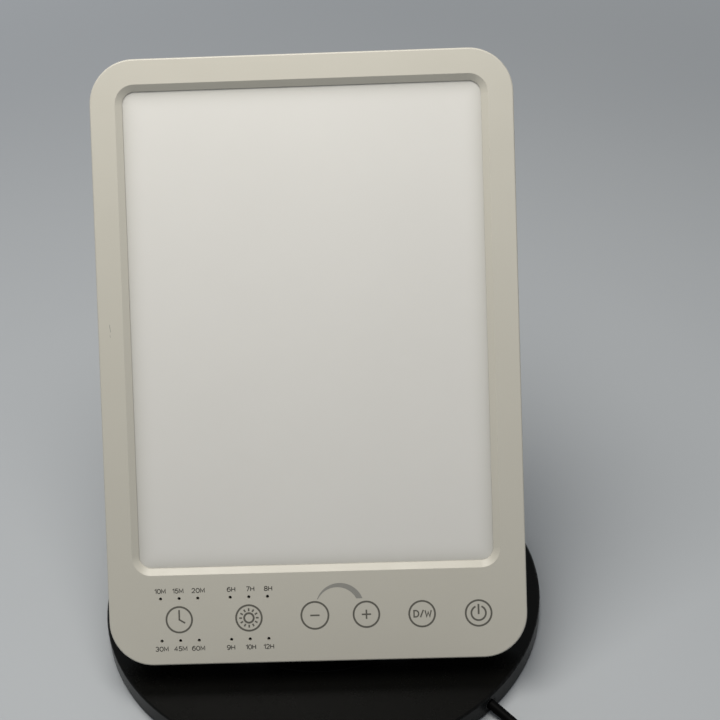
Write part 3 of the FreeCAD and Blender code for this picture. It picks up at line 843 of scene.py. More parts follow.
def smooth_by_angle(piece: bpy.types.Object, degrees: float) -> None:
    """Smooths the piece's faces and keeps edges sharper than an angle crisp."""
    piece.data.shade_smooth()
    piece.data.set_sharp_from_angle(angle=math.radians(degrees))


# an oval has a point about every 15 degrees and a ring one every 6, but never fewer than the least
OVAL_STEP, OVAL_LEAST = 15, 6
RING_STEP, RING_LEAST = 6, 12
# gap between two letters, as a share of the capitals' height
LETTER_GAP = 0.24
# at a sharp corner a line reaches out no further than half its width over this
POINT_LIMIT = 0.5


@dataclass(frozen=True)
class HeadPlane:
    """The head's front face at rest, with places across and up it in millimetres."""

    edge_ahead: float = 55.6
    edge_height: float = 20.0
    lean: float = 33.0

    def matrix(self) -> Matrix:
        """Finds the way to the row frame from the plane's own.

        Returns:
            The matrix from the plane's frame, with X across, Y into the head and Z up it.
        """
        turn = Matrix.Rotation(math.radians(-self.lean), 4, "X")
        move = Matrix.Translation(Vector((0.0, -self.edge_ahead, self.edge_height)) * MM)
        return move @ turn

    def point(self, across: float, up: float, depth: float = 0.0) -> Vector:
        """Returns one place in the row frame.

        Args:
            across: Millimetres to the lamp's left side as the user faces it, negative; right, positive.
            up: Millimetres up the face from its lower edge.
            depth: Millimetres into the head.

        Returns:
            The place in metres.
        """
        return self.matrix() @ (Vector((across, depth, up)) * MM)


@dataclass(frozen=True)
class Label:
    """One printed word: its left and right end, its foot line, its capitals' height and its stroke."""

    text: str
    left: float
    right: float
    foot: float
    height: float = 2.2
    stroke: float = 0.34


def oval(middle: Point2, reach: Point2, start: float = 0.0, sweep: float = 360.0) -> list[Point2]:
    """Points along an oval, its angles measured from straight up, clockwise.

    Args:
        middle: Its centre.
        reach: Its half width and half height.
        start: Angle of its first point, in degrees.
        sweep: How far it runs, in degrees.

    Returns:
        The points, the first repeated at the end of a whole oval.
    """
    steps = max(OVAL_LEAST, int(abs(sweep) / OVAL_STEP))
    turns = [math.radians(start + sweep * step / steps) for step in range(steps + 1)]
    return [(middle[0] + reach[0] * math.sin(t), middle[1] + reach[1] * math.cos(t)) for t in turns]


def letter_lines(letter: str) -> list[list[Point2]]:
    """Centre-lines of one letter or figure of a plain sans, its capitals one unit high.

    Args:
        letter: One of the characters that the key strip needs.

    Returns:
        The letter's lines, its left side at zero.
    """
    lines: dict[str, list[list[Point2]]] = {
        "0": [oval((0.35, 0.5), (0.35, 0.5))],
        "1": [[(0.0, 0.74), (0.32, 1.0), (0.32, 0.0)]],
        "2": [oval((0.3, 0.7), (0.3, 0.3), -80.0, 205.0) + [(0.0, 0.0), (0.62, 0.0)]],
        "3": [
            oval((0.29, 0.74), (0.27, 0.26), -70.0, 250.0),
            oval((0.29, 0.26), (0.31, 0.26), 0.0, 255.0),
        ],
        "4": [[(0.47, 0.0), (0.47, 1.0), (0.0, 0.27), (0.64, 0.27)]],
        "5": [[(0.55, 1.0), (0.12, 1.0), (0.06, 0.55)] + oval((0.28, 0.32), (0.31, 0.32), -42.0, 290.0)],
        "6": [oval((0.32, 0.32), (0.32, 0.32)), oval((0.4, 0.38), (0.4, 0.62), -96.0, 128.0)],
        "7": [[(0.0, 1.0), (0.58, 1.0), (0.18, 0.0)]],
        "8": [oval((0.32, 0.76), (0.27, 0.24)), oval((0.32, 0.25), (0.32, 0.25))],
        "9": [oval((0.32, 0.68), (0.32, 0.32)), oval((0.24, 0.62), (0.4, 0.62), 84.0, 128.0)],
        "H": [[(0.0, 0.0), (0.0, 1.0)], [(0.68, 0.0), (0.68, 1.0)], [(0.0, 0.51), (0.68, 0.51)]],
        "M": [[(0.0, 0.0), (0.0, 1.0), (0.41, 0.22), (0.82, 1.0), (0.82, 0.0)]],
        "D": [[(0.0, 0.0), (0.0, 1.0)] + oval((0.24, 0.5), (0.4, 0.5), 0.0, 180.0) + [(0.0, 0.0)]],
        "/": [[(0.0, -0.08), (0.42, 1.08)]],
        "W": [[(0.0, 1.0), (0.2, 0.0), (0.42, 0.72), (0.64, 0.0), (0.84, 1.0)]],
    }
    return lines[letter]


@dataclass
class InkLayer:
    """Flat figures on the key strip that become one thin film."""

    plane: HeadPlane
    thickness: float = 0.03
    figures: list[list[list[Point2]]] = field(default_factory=list)

    def strip(self, inner: Sequence[Point2], outer: Sequence[Point2], closed: bool = False) -> None:
        """Adds the band between two lines of as many points.

        Args:
            inner: One side of the band, across and up in millimetres.
            outer: Its other side.
            closed: Whether the band runs into itself.
        """
        count = len(inner)
        last = count if closed else count - 1
        figure = []
        for place in range(last):
            after = (place + 1) % count
            figure.append([inner[place], inner[after], outer[after], outer[place]])
        self.figures.append(figure)

    def ring(
        self, middle: Point2, radius: float, width: float, start: float = 0.0, sweep: float = 360.0
    ) -> None:
        """Adds a ring or an arc, its angles measured from straight up, clockwise.

        Args:
            middle: Its centre.
            radius: Radius of the stroke's centre-line.
            width: The stroke's width.
            start: Angle of its first end, in degrees.
            sweep: How far it runs, in degrees.
        """
        steps = max(RING_LEAST, int(abs(sweep) / RING_STEP))
        whole = abs(sweep) >= 360.0
        sides: list[list[Point2]] = []
        for reach in (radius - width / 2, radius + width / 2):
            line = []
            for step in range(steps if whole else steps + 1):
                angle = math.radians(start + sweep * step / steps)
                line.append((middle[0] + reach * math.sin(angle), middle[1] + reach * math.cos(angle)))
            sides.append(line)
        self.strip(sides[0], sides[1], whole)

    def stroke(self, begin: Point2, end: Point2, width: float) -> None:
        """Adds a straight stroke with blunt ends.

        Args:
            begin: One end of its centre-line.
            end: The other end.
            width: Its width.
        """
        along = Vector((end[0] - begin[0], end[1] - begin[1])).normalized()
        side = Vector((-along.y, along.x)) * width / 2
        self.strip(
            [(begin[0] - side.x, begin[1] - side.y), (end[0] - side.x, end[1] - side.y)],
            [(begin[0] + side.x, begin[1] + side.y), (end[0] + side.x, end[1] + side.y)],
        )

    def strokes_at(self, middle: Point2, strokes: Sequence[Sequence[Point2]], width: float) -> None:
        """Adds straight strokes whose ends are given from one place.

        Args:
            middle: The place.
            strokes: Both ends of each stroke.
            width: Their width.
        """
        for ends in strokes:
            begin, end = [(middle[0] + x, middle[1] + y) for x, y in ends]
            self.stroke(begin, end, width)

    def line(self, points: Sequence[Point2], width: float) -> None:
        """Adds one line of even width through several points, with pointed corners.

        Args:
            points: Its centre-line; a line whose ends meet is closed.
            width: Its width.
        """
        closed = math.dist(points[0], points[-1]) < JOINED
        path = [Vector(point) for point in (points[:-1] if closed else points)]
        sides: tuple[list[Point2], list[Point2]] = ([], [])
        for place, point in enumerate(path):
            before = path[place - 1] if closed or place else None
            after = path[(place + 1) % len(path)] if closed or place + 1 < len(path) else None
            ways = []
            if before is not None:
                ways.append((point - before).normalized())
            if after is not None:
                ways.append((after - point).normalized())
            along = sum(ways, Vector((0.0, 0.0))).normalized()
            square = Vector((-along.y, along.x))
            lean = max(square.dot(Vector((-ways[0].y, ways[0].x))), POINT_LIMIT)
            out = square * (width / 2 / lean)
            sides[0].append((point.x - out.x, point.y - out.y))
            sides[1].append((point.x + out.x, point.y + out.y))
        self.strip(sides[0], sides[1], closed)

    def word(self, label: Label) -> None:
        """Adds a word of plain sans letters, fitted between its two ends.

        Args:
            label: The word and its place.
        """
        lines, pen = [], 0.0
        for letter in label.text:
            drawn = letter_lines(letter)
            lines += [[(x + pen, y) for x, y in line] for line in drawn]
            pen += max(x for line in drawn for x, _ in line) + LETTER_GAP
        wide = (label.right - label.left - label.stroke) / (pen - LETTER_GAP)
        tall = label.height - label.stroke
        for line in lines:
            fitted = [
                (label.left + label.stroke / 2 + x * wide, label.foot + label.stroke / 2 + y * tall)
                for x, y in line
            ]
            self.line(fitted, label.stroke)

    def build(self, name: str, material: bpy.types.Material) -> bpy.types.Object:
        """Makes the film from all the figures.

        Args:
            name: The piece's name.
            material: The ink.

        Returns:
            The piece, riding on the head.
        """
        shape = bmesh.new()
        for figure in self.figures:
            corners: dict[Point2, bmesh.types.BMVert] = {}
            for outline in figure:
                for spot in outline:
                    if spot not in corners:
                        corners[spot] = shape.verts.new(self.plane.point(*spot))
                shape.faces.new([corners[spot] for spot in outline])
        thicken(shape, self.plane, self.thickness)
        return mesh_piece(name, shape, material, Body.HEAD)


def thicken(shape: bmesh.types.BMesh, plane: HeadPlane, thickness: float) -> None:
    """Gives flat figures on the head's face a thickness, outwards.

    Args:
        shape: The flat figures.
        plane: The face that they lie on.
        thickness: The film's thickness in millimetres.
    """
    outward = plane.point(0.0, 0.0, -thickness) - plane.point(0.0, 0.0, 0.0)
    grown = bmesh.ops.extrude_face_region(shape, geom=list(shape.faces), use_keep_orig=True)
    raised = [part for part in grown["geom"] if isinstance(part, bmesh.types.BMVert)]
    bmesh.ops.translate(shape, verts=raised, vec=outward)
    # extruding leaves the faces in an order that changes from run to run
    shape.verts.index_update()
    count = len(shape.verts)

    def rank(face: bmesh.types.BMFace) -> int:
        """Tells a face's place from its lowest and highest vertex."""
        spots = [corner.index for corner in face.verts]
        return min(spots) * count + max(spots)

    shape.faces.sort(key=rank)


def arc_through(begin: Point2, top: Point2, end: Point2, count: int) -> list[Point2]:
    """Points of the circular arc through three places.

    Args:
        begin: Its first end.
        top: A place between its ends.
        end: Its other end.
        count: How many points to give.

    Returns:
        The points from the first end to the other.
    """
    ax, ay = begin
    bx, by = top
    cx, cy = end
    d = 2 * (ax * (by - cy) + bx * (cy - ay) + cx * (ay - by))
    a2, b2, c2 = ax * ax + ay * ay, bx * bx + by * by, cx * cx + cy * cy
    ux = (a2 * (by - cy) + b2 * (cy - ay) + c2 * (ay - by)) / d
    uy = (a2 * (cx - bx) + b2 * (ax - cx) + c2 * (bx - ax)) / d
    radius = math.dist((ux, uy), begin)
    first = math.atan2(ay - uy, ax - ux)
    middle = (math.atan2(by - uy, bx - ux) - first + math.pi) % (2 * math.pi) - math.pi
    last = (math.atan2(cy - uy, cx - ux) - first + math.pi) % (2 * math.pi) - math.pi
    if last * middle < 0:
        last -= math.copysign(2 * math.pi, last)
    angles = [first + last * step / (count - 1) for step in range(count)]
    return [(ux + radius * math.cos(a), uy + radius * math.sin(a)) for a in angles]


@dataclass
class KeyStrip:
    """Printed marks of the six touch keys and the words at the indicator holes, all in millimetres."""

    wardrobe: Wardrobe
    plane: HeadPlane = field(default_factory=HeadPlane)
    ring_radius: float = 5.53
    ring_stroke: float = 0.8
    sign_stroke: float = 0.7
    sign_arm: float = 2.0
    clock: Point2 = (-59.66, 19.70)
    sun: Point2 = (-29.55, 19.72)
    minus: Point2 = (-1.10, 20.10)
    plus: Point2 = (21.08, 20.00)
    mode: Point2 = (44.98, 19.62)
    power: Point2 = (69.20, 19.32)
    minus_excess: float = 0.3
    hands: tuple[tuple[Point2, Point2], ...] = (((0.05, 4.2), (0.05, -0.3)), ((0.05, 0.0), (2.5, -1.5)))
    sun_radius: float = 2.05
    sun_stroke: float = 0.85
    ray_reach: Point2 = (2.95, 4.2)
    ray_count: int = 12
    power_radius: float = 3.1
    power_stroke: float = 0.78
    power_start: float = 24.0
    power_sweep: float = 312.0
    power_bar: Point2 = (-0.5, 3.9)
    labels: tuple[Label, ...] = (
        Label("10M", -70.0, -65.1, 31.1),
        Label("15M", -62.3, -57.4, 31.1),
        Label("20M", -53.9, -48.2, 31.1),
        Label("30M", -70.4, -64.7, 6.0),
        Label("45M", -62.3, -56.6, 6.0),
        Label("60M", -54.6, -48.9, 6.0),
        Label("6H", -38.7, -35.0, 31.2),
        Label("7H", -30.4, -26.8, 31.2),
        Label("8H", -22.7, -19.1, 31.2),
        Label("9H", -39.5, -35.9, 6.0),
        Label("10H", -31.4, -26.9, 6.0),
        Label("12H", -23.7, -19.1, 6.0),
    )
    mode_word: Label = Label("D/W", 41.2, 49.2, 18.0, 3.35, 0.62)
    band_outer: tuple[Point2, Point2, Point2] = ((0.0, 27.0), (9.3, 33.85), (19.6, 27.0))
    band_inner: tuple[Point2, Point2, Point2] = ((0.4, 27.0), (9.3, 32.05), (16.9, 27.0))
    band_points: int = 28

    def build(self) -> None:
        """Prints everything on the strip."""
        self.print_keys()
        self.print_band()
        words = InkLayer(self.plane)
        for label in self.labels:
            words.word(label)
        words.build("hole_labels", self.wardrobe.material(LABEL_INK))

    def print_keys(self) -> None:
        """Prints the key rings and the signs inside them."""
        layer = InkLayer(self.plane)
        for middle in (self.clock, self.sun, self.plus, self.mode, self.power):
            layer.ring(middle, self.ring_radius, self.ring_stroke)
        layer.ring(self.minus, self.ring_radius + self.minus_excess, self.ring_stroke)
        layer.strokes_at(self.clock, self.hands, self.sign_stroke)
        layer.ring(self.sun, self.sun_radius, self.sun_stroke)
        rays = []
        for ray in range(self.ray_count):
            angle = 2 * math.pi * ray / self.ray_count
            near, far = [(reach * math.sin(angle), reach * math.cos(angle)) for reach in self.ray_reach]
            rays.append((near, far))
        layer.strokes_at(self.sun, rays, self.sign_stroke)
        arm, half = self.sign_arm, self.sign_stroke / 2
        level = ((-arm, 0.0), (arm, 0.0))
        layer.strokes_at(self.minus, (level,), self.sign_stroke)
        upright = (((0.0, -arm), (0.0, -half)), ((0.0, half), (0.0, arm)))
        layer.strokes_at(self.plus, (level, *upright), self.sign_stroke)
        layer.ring(self.power, self.power_radius, self.power_stroke, self.power_start, self.power_sweep)
        foot, top = self.power_bar
        layer.strokes_at(self.power, (((0.0, foot), (0.0, top)),), self.power_stroke)
        layer.word(self.mode_word)
        layer.build("key_marks", self.wardrobe.material(KEY_INK))

    def print_band(self) -> None:
        """Prints the curved band that grows from the minus key to the plus key."""
        layer = InkLayer(self.plane)
        outer = arc_through(*self.band_outer, self.band_points)
        inner = arc_through(*self.band_inner, self.band_points)
        layer.strip(inner, outer)
        layer.build("key_band", self.wardrobe.material(BAND_INK))


@dataclass
class RailScuff:
    """Two short rub marks on the head's left rail."""

    wardrobe: Wardrobe
    plane: HeadPlane = field(default_factory=HeadPlane)
    marks: tuple[tuple[Point2, Point2, float], ...] = (
        ((-85.0, 147.6), (-84.6, 144.4), 0.22),
        ((-84.9, 143.2), (-84.7, 142.1), 0.16),
    )

    def build(self) -> None:
        """Makes the rub marks."""
        layer = InkLayer(self.plane, thickness=0.012)
        for begin, end, width in self.marks:
            layer.stroke(begin, end, width)
        layer.build("rail_scuff", self.wardrobe.material(BAND_INK))


@dataclass
class ScrewHeads:
    """Pan-head screws with a pressed cross, each set flush with the solid that it stands for."""

    wardrobe: Wardrobe
    node: str
    piece: str
    body: Body
    outward: Vector
    places: Sequence[Vector]
    head_radius: float = 2.3
    head_height: float = 1.3
    head_rim: float = 0.12
    rim_drop: float = 0.2
    shank_radius: float = 1.2
    shank_length: float = 3.0
    crown: float = 0.35
    crown_share: float = 0.3
    flat_margin: float = 0.2
    recess_reach: float = 1.35
    recess_width: float = 0.55
    recess_depth: float = 0.8
    recess_taper: float = 0.7
    segments: int = 32
    crisp_angle: float = 30.0

    def build(self) -> bpy.types.Object:
        """Makes all the screws of one node as one piece.

        Returns:
            The piece, which replaces the node.
        """
        shape = bmesh.new()
        for place in self.places:
            self.screw(shape, place)
        piece = mesh_piece(self.piece, shape, self.wardrobe.material(ZINC), self.body)
        smooth_by_angle(piece, self.crisp_angle)
        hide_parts(self.node)
        return piece

    def recess_outline(self) -> list[Point2]:
        """Draws the cross as it is seen from outside.

        Returns:
            Its corners, anticlockwise, in millimetres.
        """
        half, reach = self.recess_width / 2, self.recess_reach
        corners: list[Point2] = []
        for turn in range(4):
            angle = math.radians(90.0 * turn)
            for along, side in ((reach, -half), (reach, half), (half, half)):
                x = along * math.cos(angle) - side * math.sin(angle)
                y = along * math.sin(angle) + side * math.cos(angle)
                corners.append((x, y))
        return corners

    def profile(self) -> tuple[Point2, ...]:
        """Draws the screw's half section.

        Returns:
            For each corner from its flat top to its tip, the radius and the height.
        """
        flat = self.recess_reach + self.flat_margin
        return (
            (flat, 0.0),
            ((flat + self.head_radius) / 2, -self.crown * self.crown_share),
            (self.head_radius - self.head_rim, -self.crown),
            (self.head_radius, -self.crown - self.rim_drop),
            (self.head_radius, -self.head_height),
            (self.shank_radius, -self.head_height),
            (self.shank_radius, -self.head_height - self.shank_length),
        )

    def screw(self, shape: bmesh.types.BMesh, place: Vector) -> None:
        """Adds one screw.

        Args:
            shape: The mesh that it goes into.
            place: Top of its head, in metres.
        """
        side = self.outward.orthogonal().normalized()
        other = self.outward.cross(side).normalized()

        def at(x: float, y: float, high: float) -> bmesh.types.BMVert:
            """Adds one vertex, from millimetres in the screw's own frame."""
            return shape.verts.new(place + (side * x + other * y + self.outward * high) * MM)

        def circle(radius: float, high: float) -> list[bmesh.types.BMVert]:
            """Adds one circle of vertices."""
            turns = [2 * math.pi * step / self.segments for step in range(self.segments)]
            return [at(radius * math.cos(t), radius * math.sin(t), high) for t in turns]

        rows = [circle(radius, high) for radius, high in self.profile()]
        skin(shape, rows)
        shape.faces.new(rows[-1])
        outline = self.recess_outline()
        taper = self.recess_taper
        mouth = [at(x, y, 0.0) for x, y in outline]
        floor = [at(x * taper, y * taper, -self.recess_depth) for x, y in outline]
        top = rows[0]
        edges = [shape.edges.get((top[step - 1], top[step])) for step in range(1, self.segments)]
        edges.append(shape.edges.get((top[-1], top[0])))
        for step in range(len(mouth)):
            after = (step + 1) % len(mouth)
            edges.append(shape.edges.new((mouth[step], mouth[after])))
            shape.faces.new((mouth[step], mouth[after], floor[after], floor[step]))
        bmesh.ops.triangle_fill(shape, use_beauty=True, edges=edges)
        shape.faces.new(floor)


# ---- the lead --------------------------------------------------------------------------------------------
@dataclass
class StrainRelief:
    """Ribbed sleeve that keeps the lead from kinking at its adapter, in millimetres along the X axis."""

    wardrobe: Wardrobe
    tip: Point3
    length: float = 14.0
    ribs: int = 5
    sides: int = 28
    root_radius: float = 4.6
    rib_radius: float = 4.5
    rib_fall: float = 1.2
    rib_offset: float = 0.35
    groove_depth: float = 0.85
    groove_share: float = 0.38
    groove_slope: float = 0.12
    rib_step: float = 0.05
    collar_length: float = 0.25
    collar_radius: float = 3.15
    end_radius: float = 2.9
    mouth_radius: float = 2.2
    crisp_angle: float = 40.0

    def profile(self) -> list[Point2]:
        """Draws its half section.

        Returns:
            For each corner from the adapter outwards, the way along it and the radius.
        """
        corners: list[Point2] = [(0.0, self.root_radius)]
        pitch = self.length / (self.ribs + 0.5)
        for rib in range(self.ribs):
            start = pitch * (rib + self.rib_offset)
            end = start + pitch * self.groove_share
            size = self.rib_radius - self.rib_fall * (rib + 0.5) / self.ribs
            corners += [
                (start, size),
                (start + self.groove_slope, size - self.groove_depth),
                (end, size - self.groove_depth),
                (end + self.groove_slope, size - self.rib_step),
            ]
        corners.append((self.length - self.collar_length, self.collar_radius))
        corners += [(self.length, self.end_radius), (self.length, self.mouth_radius)]
        return corners

    def build(self) -> bpy.types.Object:
        """Makes the sleeve.

        Returns:
            The piece, which replaces the plain cone.
        """
        tip = Vector(self.tip) * MM
        shape = bmesh.new()
        rows = []
        for along, radius in self.profile():
            row = []
            for step in range(self.sides):
                turn = 2 * math.pi * step / self.sides
                offset = Vector((along - self.length, radius * math.cos(turn), radius * math.sin(turn)))
                row.append(shape.verts.new(tip + offset * MM))
            rows.append(row)
        skin(shape, rows)
        shape.faces.new(rows[0])
        shape.faces.new(rows[-1])
        piece = mesh_piece("adapter_strain_relief", shape, self.wardrobe.material(BLACK_RUBBER), Body.BASE)
        smooth_by_angle(piece, self.crisp_angle)
        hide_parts("adapter_boot")
        return piece


@dataclass
class CoilTie:
    """Hook-and-loop tape round the turns of the coil, in millimetres."""

    wardrobe: Wardrobe
    coil_middle: Point2
    coil_radius: float
    half_wide: float
    high: float
    bearing: float = 205.0
    width: float = 10.0
    thickness: float = 0.7
    corner: float = 2.6
    corner_steps: int = 6
    flat_share: float = 0.42
    floor_gap: float = 0.05
    crisp_angle: float = 40.0

    def section(self) -> list[Point2]:
        """Draws the rounded outline that the tape is laid round.

        Returns:
            Its points: outward from the middle of the coil's turns, and up.
        """
        corners: list[Point2] = []
        for quarter, (sx, sz) in enumerate(((1, 1), (-1, 1), (-1, -1), (1, -1))):
            for step in range(self.corner_steps + 1):
                turn = math.radians(90.0 * quarter + 90.0 / self.corner_steps * step)
                x = sx * (self.half_wide - self.corner) + self.corner * math.cos(turn)
                z = self.high / 2 + sz * (self.high / 2 - self.corner) + self.corner * math.sin(turn)
                corners.append((x, z))
        return corners

    def build(self) -> bpy.types.Object:
        """Makes the tape.

        Returns:
            The piece.
        """
        angle = math.radians(self.bearing)
        outward = Vector((math.cos(angle), math.sin(angle), 0.0))
        along = Vector((-outward.y, outward.x, 0.0))
        centre = Vector((self.coil_middle[0], self.coil_middle[1], 0.0)) + outward * self.coil_radius
        section = self.section()
        flat = self.flat_share
        shape = bmesh.new()
        rings = []
        for grow, edge in ((0.0, -0.5), (self.thickness, -flat), (self.thickness, flat), (0.0, 0.5)):
            ring = []
            for x, z in section:
                scale_x = 1.0 + grow / self.half_wide
                lifted = z + grow * (z - self.high / 2) / (self.high / 2)
                place = centre + outward * x * scale_x + along * edge * self.width
                ring.append(shape.verts.new(Vector((place.x, place.y, max(lifted, self.floor_gap))) * MM))
            rings.append(ring)
        skin(shape, [*rings, rings[0]])
        piece = mesh_piece("coil_tie", shape, self.wardrobe.material(TAPE), Body.BASE)
        smooth_by_angle(piece, self.crisp_angle)
        return piece


@dataclass
class Lead:
    """The low-voltage lead: out of the base's wall, along the table to a neat coil, and on to its adapter."""

    wardrobe: Wardrobe
    diameter: float = 4.5
    length: float = 1500.0
    exit: Point3 = (73.135, -68.2, 4.9)
    route: tuple[Point3, ...] = (
        (80.335, -74.7, 2.6),
        (87.935, -84.4, 2.25),
        (93.835, -96.6, 2.25),
        (97.035, -110.0, 2.25),
    )
    coil_middle: Point2 = (66.035, -129.0)
    outer_turn: float = 31.5
    inner_turn: float = 22.5
    layers: int = 4
    turns_per_layer: float = 2.0
    last_turn: float = 0.25
    points_per_turn: int = 16
    climb: float = 0.16
    far_route: tuple[Point3, ...] = (
        (56.035, -160.8, 15.6),
        (45.035, -159.3, 15.0),
        (35.035, -155.8, 13.9),
        (26.035, -153.0, 13.5),
    )
    order: int = 3
    resolution: int = 8
    bevel_steps: int = 6

    def coil(self) -> list[Point3]:
        """Turns of the put-away coil, layer on layer, spiralling in and out by turns.

        Returns:
            The spline's points from the coil's side where the lead comes in to the one where it leaves.
        """
        # a spline of this order keeps inside its points, so they lie a little outside the turn
        pull = math.cos(math.pi / self.points_per_turn)
        wound = self.layers * self.turns_per_layer
        count = round((wound + self.last_turn) * self.points_per_turn)
        points = []
        for step in range(count + 1):
            turn = step / self.points_per_turn
            layer = min(int(turn / self.turns_per_layer), self.layers - 1)
            share = min((turn - layer * self.turns_per_layer) / self.turns_per_layer, 1.0)
            inward = share if layer % 2 == 0 else 1.0 - share
            radius = self.outer_turn + (self.inner_turn - self.outer_turn) * inward
            # the lead climbs to the next layer half before and half after the layers meet
            rise = 0.0
            left = (layer + 1) * self.turns_per_layer - turn
            if layer < self.layers - 1 and left < self.climb:
                rise = 0.5 * (1.0 - left / self.climb)
            passed = turn - layer * self.turns_per_layer
            if layer > 0 and passed < self.climb:
                rise -= 0.5 * (1.0 - passed / self.climb)
            angle = -2 * math.pi * turn
            x = self.coil_middle[0] + radius / pull * math.cos(angle)
            y = self.coil_middle[1] + radius / pull * math.sin(angle)
            points.append((x, y, self.diameter * (0.5 + layer + rise)))
        return points

    def build(self) -> bpy.types.Object:
        """Lays the whole lead and its end pieces.

        Returns:
            The lead's curve.
        """
        curve = bpy.data.curves.new("lead", "CURVE")
        curve.dimensions = "3D"
        spline = curve.splines.new("NURBS")
        points = [self.exit, *self.route, *self.coil(), *self.far_route]
        spline.points.add(len(points) - 1)
        for knot, place in zip(spline.points, points):
            knot.co = (place[0] * MM, place[1] * MM, place[2] * MM, 1.0)
        spline.order_u = self.order
        spline.use_endpoint_u = True
        spline.resolution_u = self.resolution
        curve.bevel_depth = self.diameter / 2 * MM
        curve.bevel_resolution = self.bevel_steps
        curve.use_fill_caps = True
        curve.materials.append(self.wardrobe.material(BLACK_VINYL))
        lead = put("lead", curve)
        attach(lead, Body.BASE.value)
        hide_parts("lead_tube", "lead_coil", "lead_end")
        boot = StrainRelief(self.wardrobe, self.far_route[-1]).build()
        tie = self.tie().build()
        LOG.info("lead laid with %d points", len(points))
        return lead

    def tie(self) -> CoilTie:
        """Fits the tape that holds the coil's turns together.

        Returns:
            The tape, not yet made.
        """
        middle = (self.outer_turn + self.inner_turn) / 2
        half_wide = (self.outer_turn - self.inner_turn) / 2 + self.diameter / 2
        return CoilTie(self.wardrobe, self.coil_middle, middle, half_wide, self.layers * self.diameter)


# ---- ground, lamps and camera ----------------------------------------------------------------------------
def seen_ray(tree: Tree) -> Socket:
    """Tells the rays that show the room, straight or in gloss or glass, from those that light it.

    Args:
        tree: Node tree of the floor's material or of the world.

    Returns:
        One for a ray that shows the room.
    """
    ray = node(tree, "ShaderNodeLightPath").outputs
    sources = {0: ray["Is Camera Ray"], 1: ray["Is Transmission Ray"]}
    clear = node(tree, "ShaderNodeMath", sources, operation="MAXIMUM")
    sources = {0: clear.outputs[0], 1: ray["Is Glossy Ray"]}
    return node(tree, "ShaderNodeMath", sources, operation="MAXIMUM").outputs[0]


@dataclass(frozen=True)
class StudioFinish:
    """Pale painted board under the lamp, matt, with a barely visible drift of its tone.

    Past the lamps' reach it goes over into the tone of the backdrop, so that no horizon shows.
    """

    name: str = "pale_painted_board"
    colour: str = "#ABAFB2"
    drift_colour: str = "#A7ABAF"
    drift: float = 240.0
    roughness: float = 0.7
    backdrop_colour: str = "#ABAFB2"
    lit_reach: float = 0.5
    backdrop_reach: float = 1.4

    def material(self) -> bpy.types.Material:
        """Builds the finish.

        Returns:
            A new material.
        """
        material, tree, place = blank_material(self.name)
        drift = node(
            tree, "ShaderNodeTexNoise", {"Vector": place, "Scale": per_metre(self.drift), "Detail": 2.0}
        )
        tone = node(
            tree,
            "ShaderNodeMix",
            {0: drift.outputs["Fac"], 6: linear(self.colour), 7: linear(self.drift_colour)},
            data_type="RGBA",
        )
        paint = {"Base Color": tone.outputs[2], "Roughness": self.roughness}
        board = node(tree, "ShaderNodeBsdfPrincipled", paint)
        backdrop = node(tree, "ShaderNodeEmission", {"Color": linear(self.backdrop_colour), "Strength": 1.0})
        away = node(tree, "ShaderNodeVectorMath", {0: place}, operation="LENGTH")
        share = node(
            tree,
            "ShaderNodeMapRange",
            {"Value": away.outputs["Value"], "From Min": self.lit_reach, "From Max": self.backdrop_reach},
            interpolation_type="SMOOTHSTEP",
        )
        shares = {0: share.outputs["Result"], 1: seen_ray(tree)}
        seen = node(tree, "ShaderNodeMath", shares, operation="MULTIPLY")
        mixed = node(
            tree,
            "ShaderNodeMixShader",
            {0: seen.outputs[0], 1: board.outputs[0], 2: backdrop.outputs[0]},
        )
        node(tree, "ShaderNodeOutputMaterial", {"Surface": mixed.outputs[0]})
        return material


@dataclass(frozen=True)
class AreaLamp:
    """One soft rectangular studio lamp."""

    name: str
    place: Point3
    aim: Point3
    size: Point2
    power: float
    colour: str

    def build(self) -> bpy.types.Object:
        """Hangs the lamp, out of the camera's sight.

        Returns:
            The lamp's object.
        """
        data = bpy.data.lights.new(self.name, "AREA")
        data.shape = "RECTANGLE"
        data.size, data.size_y = self.size
        data.energy = self.power
        data.color = linear(self.colour)[:3]
        lamp = put(self.name, data)
        lamp.location = self.place
        lamp.rotation_mode = "QUATERNION"
        lamp.rotation_quaternion = (Vector(self.aim) - Vector(self.place)).to_track_quat("-Z", "Y")
        lamp.visible_camera = False
        return lamp


